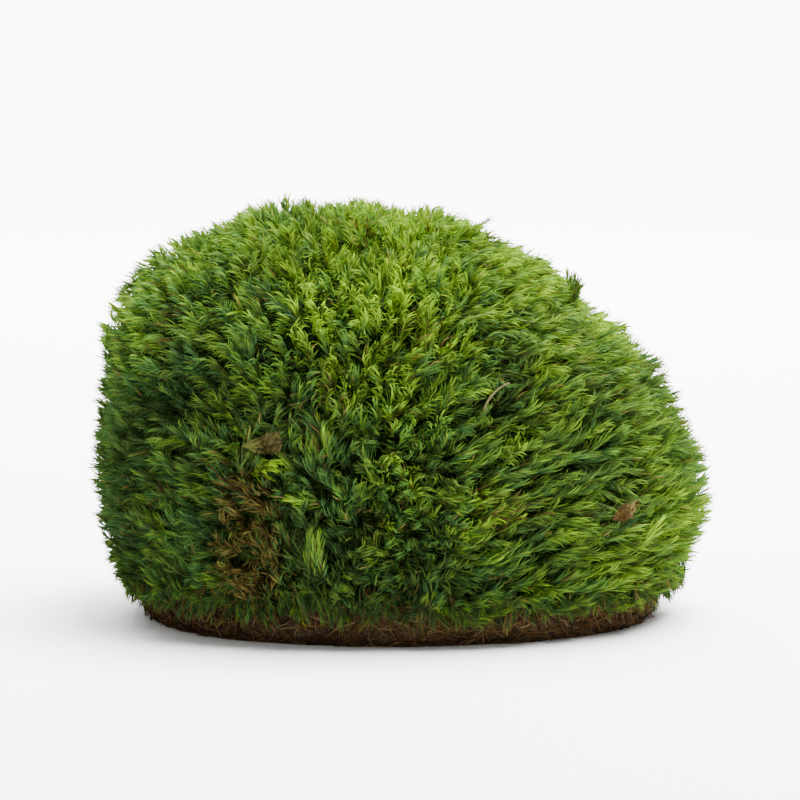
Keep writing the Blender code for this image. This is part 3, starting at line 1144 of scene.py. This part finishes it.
    def skirt(self) -> Shoots:
        """Plants the browned shoots that droop over the mat.

        They stand in tiers, each with its height in millimetres, its fall below level in degrees and
        its share of dead leaves. The lower a shoot stands, the further in it is.

        Returns:
            The shoots.
        """
        chance = np.random.default_rng(self.seed + 2)
        around = self.skirt_around
        size = (around, 1)
        tiers = []
        for level, fall, dead in self.skirt_tiers:
            bearings = (np.arange(around) + chance.random(around)) * math.tau / around
            place = self.envelope.rim(bearings, np.full(around, self.skirt_top))
            out = np.stack([np.cos(bearings), np.sin(bearings), np.zeros(around)], axis=-1)
            place = place - out * self.sunk(place)
            place[:, 2] = level * MM + 0.8 * MM * chance.normal(size=around)
            angle = np.radians(fall + 10 * chance.normal(size=size))
            sway = 0.35 * noise_vectors(place, 8 * MM, 61) + 0.25 * chance.normal(size=out.shape)
            axes = unit(out * np.cos(angle) - np.sin(angle) * (0, 0, 1) + square_to(sway, out))
            combs = (0, 0, -0.5) + out * 0.2 + 0.8 * noise_vectors(place, 6 * MM, 71)
            combs = unit(square_to(combs + 0.4 * chance.normal(size=out.shape), axes))
            inset = 0.8 * MM + 0.42 * (8.0 * MM - place[:, 2:]) + 1.6 * MM * chance.random(size)
            tips = place - out * inset
            tips[:, 2] = np.maximum(tips[:, 2], self.skirt_lowest)
            hook = 0.4 + 0.6 * chance.random(size)
            tone = 0.40 + 0.12 * chance.normal(size=size)
            gold, browned = chance.random(size), np.full(size, dead)
            vigour = 0.8 + 0.2 * chance.random(size)
            tiers.append(Shoots(tips, axes, combs, hook, tone, gold, browned, vigour))
        return Shoots.together(tiers)

    def odd(self) -> Shoots:
        """Plants the odd shoots, each in the direction on the front that shows nearest its place.

        Returns:
            The shoots.
        """
        shoots = self.odd_shoots
        ways = self.directions(self.fine_ball)
        ways = ways[ways[:, 1] < 0.02]
        surface = self.envelope.middle + ways * self.envelope.reach(ways)
        shown = np.array([(shoot.x, shoot.z) for shoot in shoots]) * MM
        apart = np.linalg.norm(surface[None, :, ::2] - shown[:, None], axis=-1)
        nearest = np.argmin(apart + 0.02 * np.abs(surface[None, :, 1]), axis=1)
        axes = unit(np.array([shoot.lean for shoot in shoots]))
        combs = unit(square_to(np.array([shoot.sweep for shoot in shoots]), axes))
        proud, *rest = (
            np.array([[getattr(shoot, name)] for shoot in shoots])
            for name in ("proud", "hook", "tone", "gold", "dead", "vigour")
        )
        return Shoots(surface[nearest] + ways[nearest] * (proud * MM), axes, combs, *rest)


@dataclass(frozen=True)
class LeafShape:
    """One kind of leaf: a flat ribbon of rings, two vertices wide, that ends in a point."""

    rings: int
    length: float
    width: float

    @property
    def along(self) -> Array:
        """The places of the rings, and last of the point, from the foot at 0 to the point at 1."""
        return np.linspace(0, 1, self.rings + 1)

    def template(self) -> Array:
        """The triangles of one leaf: two between rings, and one to the point."""
        last = 2 * (self.rings - 1)
        return np.concatenate([grid_faces(self.rings, 2), [[last, last + 1, last + 2]]])

    def breadth(self) -> Array:
        """Half the width at each ring: it swells over the first third, then narrows as 1 - s^1.15.

        Returns:
            One half width a ring.
        """
        s = self.along[:-1]
        swell = 0.60 + 0.40 * np.sin(np.pi / 2 * np.minimum(1, s / 0.30))
        return self.width / 2 * swell * (1 - s**1.15)


@dataclass(frozen=True)
class LeafCoat:
    """The leaves of one kind on a shoot: how many, how deep below its tip, and how they spread.

    Spread is in degrees from the stem, at the tip and from full_spread down. Leaves near the tip are
    young and shorter.
    """

    shape: LeafShape
    count: int
    from_depth: float
    to_depth: float
    spread: tuple[float, float] = (7.0, 25.0)
    full_spread: float = 6 * MM
    grown_up: float = 2.5 * MM
    stem: float = 0.15 * MM
    colour_spread: float = 0.065

    def build(self, shoots: Shoots, seed: int) -> tuple[Array, Array, Array]:
        """Grows the leaves.

        Leaf j stands at the golden angle times j round its stem, deeper down for a larger j. Its line
        starts at an angle from the stem, closes towards it, and sweeps to the shoot's own side as
        s^1.4. The line is the running sum of its directions, and each ring is set across it.

        Args:
            shoots: The shoots.
            seed: Chooses the chances taken.

        Returns:
            The vertices, the triangles, and a place in the UV map for each vertex.
        """
        chance = np.random.default_rng(seed)
        shape, number = self.shape, len(shoots.tips)
        axis, comb = shoots.axes[:, None], shoots.combs[:, None]
        side = unit(np.cross(axis, np.array([0.31, 0.95, 0.05])))
        other = np.cross(axis, side)
        size = (number, self.count, 1)
        share = (np.arange(self.count)[None, :, None] + chance.random(size)) / self.count
        depth = self.from_depth + (self.to_depth - self.from_depth) * share
        turn = GOLDEN_ANGLE * np.arange(self.count)[None, :, None]
        turn = turn + math.tau * chance.random((number, 1, 1))
        turn = turn + 0.35 * chance.normal(size=size)
        outward = side * np.cos(turn) + other * np.sin(turn)

        age = np.clip(depth / self.grown_up, 0, 1)
        length = shape.length * (0.66 + 0.34 * age) * (0.85 + 0.30 * chance.random(size))
        length = length * shoots.vigour[:, None]
        narrow, wide = self.spread
        spread = narrow + (wide - narrow) * np.clip(depth / self.full_spread, 0, 1) ** 0.7
        spread = np.radians(spread + 6 * chance.normal(size=size))
        hook = shoots.hook[:, None] * (0.65 + 0.7 * chance.random(size))
        comb = unit(comb + 0.38 * chance.normal(size=(number, self.count, 3)))
        root = shoots.tips[:, None] - axis * (depth + 0.80 * length) + outward * self.stem

        line, ways = [root], []
        for start, end in zip(shape.along, shape.along[1:]):
            s = (start + end) / 2
            angle = spread * (1 - 0.5 * s)
            way = unit(np.cos(angle) * axis + np.sin(angle) * outward + hook * s**1.4 * comb)
            ways.append(way)
            line.append(line[-1] + way * length * (end - start))
        line, ways = np.stack(line, axis=2), np.stack(ways, axis=2)

        tangent = np.cross(outward, axis)[:, :, None]
        across = unit(square_to(tangent, ways))
        twist = 0.9 * chance.normal(size=size)[:, :, None] * shape.along[None, None, :-1, None]
        across = turned(across, ways, twist + 0.5 * chance.normal(size=size)[:, :, None])
        half = across * shape.breadth()[None, None, :, None] * shoots.vigour[:, None, None]
        rings = np.stack([line[:, :, :-1] - half, line[:, :, :-1] + half], axis=3)
        rings = rings.reshape(number * self.count, -1, 3)
        points = np.concatenate([rings, line[:, :, -1].reshape(-1, 1, 3)], axis=1)

        tone = shoots.tone[:, None] + 0.13 * (0.35 - share)
        tone = np.clip(tone + self.colour_spread * chance.normal(size=size), 0, 0.99)
        golden = chance.random(size) < shoots.gold[:, None]
        tone = np.where(golden, LeafKind.GOLDEN_GREEN.tone(tone), LeafKind.COOL_GREEN.tone(tone))
        brown = chance.random(size) < shoots.dead[:, None] * 0.9 + 0.012 + 0.03 * share
        tone = np.where(brown, LeafKind.DEAD.tone(chance.random(size) ** 1.4), tone).reshape(-1, 1)
        edge = np.append(np.tile([-1.0, 1.0], shape.rings), 0.0)[None]
        rise = np.append(np.repeat(shape.along[:-1], 2), 1.0)[None]
        faces = repeated(shape.template(), len(points), points.shape[1])
        return points.reshape(-1, 3), faces, ATLAS.uv(tone, edge, rise).reshape(-1, 2)


@dataclass
class MossDome:
    """The living dome: shoots in zones, the skirt that droops over the mat, and the dark heart.

    The heart's fall is in degrees from straight up, of its lowest ring and its highest.
    """

    envelope: Envelope
    meadow: Meadow
    litter: list[Lie]
    coats: tuple[LeafCoat, ...] = (
        LeafCoat(LeafShape(4, 4.7 * MM, 0.52 * MM), 16, 0.0, 3.4 * MM),
        LeafCoat(LeafShape(3, 4.6 * MM, 0.64 * MM), 9, 2.8 * MM, 6.6 * MM),
    )
    heart_depth: float = 6.7 * MM
    heart_dented: float = 0.3
    heart_fall: tuple[float, float] = (112.0, 1.5)
    heart_rows: int = 68
    heart_columns: int = 176
    seam: float = 7.9 * MM
    off_ground: float = 0.4 * MM
    crown_above: float = 74 * MM
    seed: int = 100

    def zones(self, shoots: Shoots) -> dict[Zone, Array]:
        """Which shoots belong to each zone, by height and then by bearing from the dome's middle.

        Args:
            shoots: The shoots.

        Returns:
            For each zone, a row of truths.
        """
        x, y = (shoots.tips - self.envelope.middle)[:, :2].T
        crown = shoots.tips[:, 2] > self.crown_above
        bearing = np.degrees(np.arctan2(y, x))
        bearing = np.where(bearing > ZONE_BEARINGS[Zone.FRONT_LEFT][0], bearing, bearing + 360)
        parts = {Zone.CROWN: crown}
        for zone, (start, end) in ZONE_BEARINGS.items():
            parts[zone] = (bearing > start) & (bearing <= end) & ~crown
        return parts

    def coated(self, name: str, shoots: Shoots, seed: int, finish: Material) -> Piece:
        """One piece of leaves on some shoots.

        Args:
            name: The piece's name.
            shoots: The shoots.
            seed: Chooses the chances taken.
            finish: The leaves' material.

        Returns:
            The piece.
        """
        grown = [coat.build(shoots, seed + number) for number, coat in enumerate(self.coats)]
        points, faces, uv = zip(*grown)
        starts = np.cumsum([0] + [len(coat) for coat in points])
        faces = np.concatenate([coat + start for coat, start in zip(faces, starts)])
        points = self.kept_inside(np.concatenate(points))
        return new_piece(name, points, faces, finish, np.concatenate(uv))

    def leaves(self) -> list[Piece]:
        """Grows the shoots and makes one piece of leaves for each zone, and one for the skirt.

        Returns:
            The pieces.
        """
        meadow = self.meadow
        shoots = Shoots.together([meadow.grow(self.litter), meadow.crossing(self.litter), meadow.odd()])
        finish = MOSS_LEAF.material()
        pieces = [
            self.coated(zone.value, shoots.chosen(inside), self.seed + 10 * number, finish)
            for number, (zone, inside) in enumerate(self.zones(shoots).items())
        ]
        return [*pieces, self.coated("browned_skirt", meadow.skirt(), self.seed + 100, finish)]

    def kept_inside(self, points: Array) -> Array:
        """Points held within the CAD dome's box sideways and upwards, and off the ground."""
        low = np.array([*self.envelope.low[:2], self.off_ground])
        return np.clip(points, low, self.envelope.high)

    def heart(self) -> Piece:
        """The shaded stems behind the leaves: the dome sunk by a depth and by lumps of noise.

        Rings of directions rise from below the widest level to the crown. The poles are the middle of
        the flat underside and the top.

        Returns:
            The piece.
        """
        middle = self.envelope.middle
        turn = np.linspace(0, math.tau, self.heart_columns, endpoint=False)[None, :]
        fall = np.radians(np.linspace(*self.heart_fall, self.heart_rows))[:, None]
        across = np.sin(fall)
        ways = np.broadcast_arrays(across * np.cos(turn), across * np.sin(turn), np.cos(fall))
        ways = np.stack(ways, axis=-1).reshape(-1, 3)
        reach = self.envelope.reach(ways)
        sunk = self.meadow.sunk(middle + ways * reach, self.heart_dented)
        points = middle + ways * (reach - sunk - self.heart_depth)
        lumps = smooth_noise(points, 4.0 * MM, 51) * 0.8 * MM
        lumps = lumps + smooth_noise(points, 2.0 * MM, 52) * 0.8 * MM
        points = points + ways * lumps[:, None]
        points[:, 2] = np.maximum(points[:, 2], self.seam)
        under = [*middle[:2], self.seam]
        top = points[-self.heart_columns :].mean(axis=0)
        points = np.concatenate([points, [under], [top]])
        faces = tube_faces(self.heart_rows, self.heart_columns)
        return new_piece("shaded_heart", points, faces, ShadedStemFinish().material())

    def build(self) -> list[Piece]:
        """Makes every piece of the dome, rides them on the clump and hides its CAD node in their place.

        Returns:
            The pieces.
        """
        pieces = [*self.leaves(), self.heart()]
        for piece in pieces:
            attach(piece, "root")
            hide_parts(self.envelope.node)
        return pieces


# ---------------------------------------------------------------- the mat of dead stems


@dataclass
class StemMat:
    """The mat under the dome: its CAD solid, dressed, and loose dead stems round its edge."""

    node: str = "stem_mat"
    stems: int = 2400
    rings: int = 5
    sides: int = 3
    length: tuple[float, float] = (3.0 * MM, 9.0 * MM)
    thickness: tuple[float, float] = (0.18 * MM, 0.40 * MM)
    levels: tuple[float, float] = (0.7 * MM, 8.4 * MM)
    lift: float = 1.5 * MM
    edge_blur: tuple[float, float] = (0.07, 1.5 * MM)
    seed: int = 9

    def edge(self, bearings: Array, heights: Array) -> Array:
        """How far the mat's edge is from the z axis.

        It is a mean of the CAD corners, weighted by exp(-r^2) for a distance r that is measured in
        the edge's two blurs, of bearing and of height.

        Args:
            bearings: Radians from +x towards +y.
            heights: Heights above the ground, in the same shape.

        Returns:
            The distances, in the same shape.
        """
        corners, _ = mesh_points(self.node)
        out = np.hypot(corners[:, 0], corners[:, 1])
        outer = out > 0.5 * out.max()
        corners, out = corners[outer], out[outer]
        bearing = np.arctan2(corners[:, 1], corners[:, 0])
        near = np.cos(bearings[..., None] - bearing) - 1
        rise = (heights[..., None] - corners[:, 2]) / self.edge_blur[1]
        weight = np.exp(2 * near / self.edge_blur[0] ** 2 - rise**2) + 1e-12
        return (weight * out).sum(-1) / weight.sum(-1)

    def loose_stems(self) -> Piece:
        """Stems that wander over the mat's edge.

        Each stem's line is a walk over the edge, in bearing and height, whose heading drifts, and
        which lifts off it towards the stem's end. A three-sided profile is carried along the line.

        Returns:
            The piece.
        """
        chance = np.random.default_rng(self.seed)
        count = self.stems
        step = chance.uniform(*self.length, size=count) / (self.rings - 1)
        heading = np.where(chance.random(count) < 0.5, 0.0, np.pi) - 0.6
        heading = heading + 0.9 * chance.normal(size=count)
        bearing, height = math.tau * chance.random(count), chance.uniform(*self.levels, size=count)
        lift = self.lift * chance.random(count) ** 2
        line = []
        for ring in range(self.rings):
            share = ring / (self.rings - 1)
            out = self.edge(bearing, height) + 0.1 * MM + lift * share**1.5
            line.append(np.stack([out * np.cos(bearing), out * np.sin(bearing), height], axis=-1))
            heading = heading + 0.35 * chance.normal(size=count)
            bearing = bearing + np.cos(heading) * step / out
            height = np.clip(height + np.sin(heading) * step, 0.3 * MM, self.levels[1])
        line = np.stack(line, axis=1)
        way = unit(np.gradient(line, axis=1))
        side = unit(np.cross(way, unit(line * (1, 1, 0))))
        other = np.cross(way, side)
        turn = math.tau * np.arange(self.sides) / self.sides
        radius = chance.uniform(*self.thickness, size=(count, 1, 1, 1)) / 2
        radius = radius * np.linspace(1, 0.45, self.rings)[None, :, None, None]
        spokes = side[:, :, None] * np.cos(turn)[:, None] + other[:, :, None] * np.sin(turn)[:, None]
        rings = (line[:, :, None] + spokes * radius).reshape(count, -1, 3)
        points = np.concatenate([rings, line[:, :1], line[:, -1:] + way[:, -1:] * 0.2 * MM], axis=1)
        points[..., 2] = np.maximum(points[..., 2], 0.05 * MM)
        tone = np.clip(0.5 + 0.26 * chance.normal(size=(count, 1)), 0, 0.999)
        across = np.append(np.tile(np.linspace(-1, 1, self.sides), self.rings), [0.0, 0.0])[None]
        along = np.append(np.repeat(np.linspace(0.03, 0.97, self.rings), self.sides), [0.0, 1.0])[None]
        uv = ATLAS.uv(tone, across, along).reshape(-1, 2)
        faces = repeated(tube_faces(self.rings, self.sides), count, points.shape[1])
        return new_piece("loose_dead_stems", points.reshape(-1, 3), faces, DEAD_STEM.material(), uv)

    def build(self) -> Piece:
        """Dresses the CAD mat, adds the loose stems and rides them on the clump.

        Returns:
            The loose stems.
        """
        bpy.data.objects[self.node].data.materials.clear()
        bpy.data.objects[self.node].data.materials.append(CutMatFinish().material())
        stems = self.loose_stems()
        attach(stems, "root")
        return stems


# ---------------------------------------------------------------- litter


@dataclass
class LeafScrap:
    """A torn scrap of dead leaf: a thin closed form with a rib, a ragged edge and a curl.

    Its outline is given as places (u, low, high): at share u along it, how far it reaches to either
    side, as shares of its half width.
    """

    name: str
    node: str
    slot: str
    finish: ScrapFinish
    outline: tuple[Triple, ...]
    seed: int
    rows: int = 44
    sides: int = 40
    thickness: float = 0.22 * MM
    ripple: float = 0.75 * MM
    ragged: float = 0.20
    rib: float = 0.10 * MM

    def build(self, lie: Lie) -> Piece:
        """Carries a flat oval profile along the scrap's length.

        At share u the edge lies at v = low(u) or high(u) times 1 - ragged * noise(u), with the two
        reaches read off the outline, and the sheet runs between them as |cos(turn)| times the edge.
        It follows the bend of the CAD solid, ripples with noise, and rises to a rib at its middle.

        Args:
            lie: How the piece lies.

        Returns:
            The piece.
        """
        u = np.linspace(-0.98, 0.98, self.rows)[:, None]
        turn = np.linspace(0, math.tau, self.sides, endpoint=False)
        u, across, lift = np.broadcast_arrays(u, -np.cos(turn), np.sin(turn))
        marks, low, high = np.array(self.outline).T
        edge = np.where(across < 0, np.interp(u, marks, low), np.interp(u, marks, high))
        along_edge = np.stack([u * 4.0, np.sign(across) * 2.0, np.full_like(u, self.seed)], -1)
        torn = 0.6 * smooth_noise(along_edge, 0.5, self.seed)
        torn = torn + 0.4 * smooth_noise(2.5 * along_edge, 0.5, self.seed + 2)
        v = edge * np.abs(across) * (1 - self.ragged * (1 + torn) * np.abs(across))
        crumple = smooth_noise(np.stack([u * 2.0, v * 1.4, np.zeros_like(u)], -1), 0.9, self.seed + 1)
        rib = self.rib * np.exp(-((across / 0.10) ** 2)) * np.sign(lift)
        off = self.thickness / 2 * lift + self.ripple * crumple + rib
        points = lie.placed(u, v, off).reshape(-1, 3)
        poles = lie.placed(np.array([-1.0, 1.0]), np.zeros(2), np.zeros(2))
        points = np.concatenate([points, poles])
        rise = np.append(np.repeat(np.linspace(0.02, 0.98, self.rows), self.sides), [0.0, 1.0])
        around = np.append(np.tile(turn / math.tau, self.rows), [0.25, 0.25])
        uv = np.stack([around, rise], axis=-1)
        faces = tube_faces(self.rows, self.sides)
        piece = new_piece(self.name, points, faces, self.finish.material(), uv, GRAIN_MAP)
        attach(piece, "root")
        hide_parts(self.node)
        return piece


@dataclass
class Straw:
    """A dry stalk caught between the shoots: a flattened hollow tube with a joint and cut ends."""

    node: str = "dry_needle"
    rings: int = 30
    sides: int = 14
    radii: tuple[float, float] = (0.25 * MM, 0.18 * MM)
    joint_at: float = 0.36
    hollow: float = 0.55 * MM

    def build(self, lie: Lie) -> Piece:
        """Carries an oval profile along the line of the CAD stalk.

        The radius swells by a third at the joint, tapers by a quarter along the length, and wavers
        with noise. At both ends the wall turns in and runs back to a pole inside.

        Args:
            lie: How the piece lies.

        Returns:
            The piece.
        """
        share = np.concatenate([[0.07, 0.0], np.linspace(0, 1, self.rings - 4), [1.0, 0.93]])
        wall = np.concatenate([[0.50, 0.62], np.ones(self.rings - 4), [0.62, 0.50]])
        turn = np.linspace(0, math.tau, self.sides, endpoint=False)
        swell = 1 + 0.33 * np.exp(-(((share - self.joint_at) / 0.035) ** 2)) - 0.25 * share
        wrapped = np.broadcast_arrays(share[:, None] * 9, np.cos(turn), np.sin(turn))
        waver = smooth_noise(np.stack(wrapped, axis=-1), 0.9, 4)
        radius = (swell * wall)[:, None] * (1 + 0.10 * waver)
        u = (2 * share - 1)[:, None] * 0.97 + np.zeros_like(turn)
        spine = lie.placed(u, np.zeros_like(u), np.zeros_like(u))
        wide = self.radii[0] * radius[..., None] * np.cos(turn)[:, None] * lie.axes[1]
        thick = self.radii[1] * radius[..., None] * np.sin(turn)[:, None] * lie.axes[2]
        points = (spine + wide + thick).reshape(-1, 3)
        inside = 1 - self.hollow / lie.half[0]
        poles = lie.placed(np.array([-inside, inside]), np.zeros(2), np.zeros(2))
        around = np.append(np.tile(turn / math.tau, self.rings), [0.5, 0.5])
        uv = np.stack([around, np.append(np.repeat(share, self.sides), [0.1, 0.9])], axis=-1)
        points = np.concatenate([points, poles])
        faces = tube_faces(self.rings, self.sides)
        piece = new_piece("split_straw", points, faces, StrawFinish().material(), uv, GRAIN_MAP)
        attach(piece, "root")
        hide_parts(self.node)
        return piece


# ---------------------------------------------------------------- the set


@dataclass
class Sweep:
    """A pale floor that curves up into a wall behind."""

    reach: float = 3.0
    rise: float = 2.4
    bend: float = 0.8
    front: float = -2.5
    back: float = 1.6

    def build(self) -> Piece:
        """A strip along x whose side view is a line, a quarter circle and a line.

        Returns:
            The sweep, which isn't part of the object.
        """
        angle = np.linspace(0, np.pi / 2, 16)
        away, up = self.back + self.bend * np.sin(angle), self.bend * (1 - np.cos(angle))
        curve = np.stack([away, up], axis=-1)
        side = np.concatenate([[[self.front, 0.0]], curve, [[self.back + self.bend, self.rise]]])
        x = np.tile([-self.reach, self.reach], len(side))
        points = np.column_stack([x, np.repeat(side, 2, axis=0)])
        sheet = NodeSheet("pale_paper")
        tooth = sheet.noise(sheet.solid_place(), 900.0, 3.0)
        paper = sheet.skin(sheet.mix(tooth, (0.86, 0.86, 0.86), (0.89, 0.89, 0.885)), 0.8, 0.5)
        floor = new_piece("pale_sweep", points, grid_faces(len(side), 2), sheet.finish(paper))
        floor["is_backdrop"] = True
        return floor


@dataclass(frozen=True)
class Lamp:
    """A square soft light: where it hangs, how wide it is, its power, and where it shines."""

    name: str
    place: Triple
    width: float
    power: float
    aim: Triple

    def hang(self) -> None:
        """Hangs the lamp, turned to its aim."""
        light = bpy.data.lights.new(self.name, "AREA")
        light.size = self.width
        light.energy = self.power
        lamp = bpy.data.objects.new(self.name, light)
        lamp.location = self.place
        lamp.rotation_euler = (lamp.location - Vector(self.aim)).to_track_quat("Z", "Y").to_euler()
        bpy.context.scene.collection.objects.link(lamp)


@dataclass
class Studio:
    """Soft light from above and the right, a bright room, and a long lens held nearly level."""

    lamps: tuple[Lamp, ...] = (
        Lamp("top_softbox", (0.22, 0.0, 0.72), 0.50, 40.0, (0.0, 0.0, 0.05)),
        Lamp("front_fill", (-0.35, -0.9, 0.45), 0.5, 1.5, (0.0, 0.0, 0.05)),
        Lamp("wall_wash", (0.0, 0.9, 1.6), 1.6, 420.0, (0.0, 2.4, 0.3)),
    )
    room: float = 0.5
    lens: float = 150.0
    sensor: float = 36.0
    clip_start: float = 0.05
    elevation: float = math.radians(6)
    fill: float = 0.80

    def build(self, low: Array, high: Array) -> None:
        """Sets the lights, the room and the camera round the clump's box.

        Args:
            low: The box's lowest corner.
            high: The box's highest corner.
        """
        middle = (low + high) / 2
        for lamp in self.lamps:
            lamp.hang()
        world = bpy.data.worlds.new("bright_room")
        world.use_nodes = True
        sky = world.node_tree.nodes["Background"].inputs
        sky["Color"].default_value = (1, 1, 1, 1)
        sky["Strength"].default_value = self.room
        bpy.context.scene.world = world
        camera = bpy.data.cameras.new("camera")
        camera.lens = self.lens
        camera.sensor_width = self.sensor
        camera.clip_start = self.clip_start
        stand = (high[0] - low[0]) / self.fill * camera.lens / camera.sensor_width
        back = np.array([0, -math.cos(self.elevation), math.sin(self.elevation)])
        eye = bpy.data.objects.new("camera", camera)
        eye.location = middle + back * stand
        eye.rotation_euler = Vector(back).to_track_quat("Z", "Y").to_euler()
        bpy.context.scene.collection.objects.link(eye)
        bpy.context.scene.camera = eye


# ---------------------------------------------------------------- the clump

LITTER = (
    Straw(),
    LeafScrap(
        "rust_leaf_scrap",
        "leaf_scrap_rust",
        "rust_leaf",
        ScrapFinish(
            "rust_leaf",
            blade=(0.040, 0.022, 0.005),
            blotch=(0.023, 0.013, 0.003),
            worn=(0.082, 0.066, 0.021),
            edge=(0.026, 0.024, 0.006),
            worn_at=0.76,
            worn_reach=0.16,
        ),
        outline=(
            (-1.00, -0.10, 0.05),
            (-0.75, -0.42, 0.25),
            (-0.40, -0.80, 0.42),
            (-0.05, -0.62, 0.80),
            (0.30, -0.78, 0.62),
            (0.65, -0.50, 0.78),
            (0.88, -0.46, 0.40),
            (1.00, -0.12, 0.06),
        ),
        seed=3,
    ),
    LeafScrap(
        "brown_leaf_scrap",
        "leaf_scrap_brown",
        "brown_leaf",
        ScrapFinish(
            "brown_leaf",
            blade=(0.044, 0.036, 0.010),
            blotch=(0.015, 0.013, 0.004),
            worn=(0.062, 0.066, 0.016),
            edge=(0.022, 0.018, 0.005),
            worn_at=0.14,
            worn_reach=0.34,
        ),
        outline=(
            (-1.00, -0.06, 0.04),
            (-0.70, -0.34, 0.30),
            (-0.35, -0.66, 0.46),
            (0.00, -0.72, 0.66),
            (0.30, -0.92, 0.74),
            (0.60, -0.84, 0.92),
            (0.86, -0.96, 0.98),
            (0.96, -0.74, 0.96),
            (1.00, -0.40, 0.60),
        ),
        seed=9,
    ),
)


def main() -> None:
    """Builds the clump and its studio."""
    logging.basicConfig(level=logging.INFO, format="%(name)s %(message)s")
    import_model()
    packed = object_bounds()
    envelope = Envelope()
    lies = [Lie.of(piece.node, envelope.middle) for piece in LITTER]
    MossDome(envelope, Meadow(envelope), lies).build()
    StemMat().build()
    for piece, lie in zip(LITTER, lies):
        piece.build(lie)
    Sweep().build()
    Studio().build(np.array(packed[0]), np.array(packed[1]))


if __name__ == "__main__":
    main()
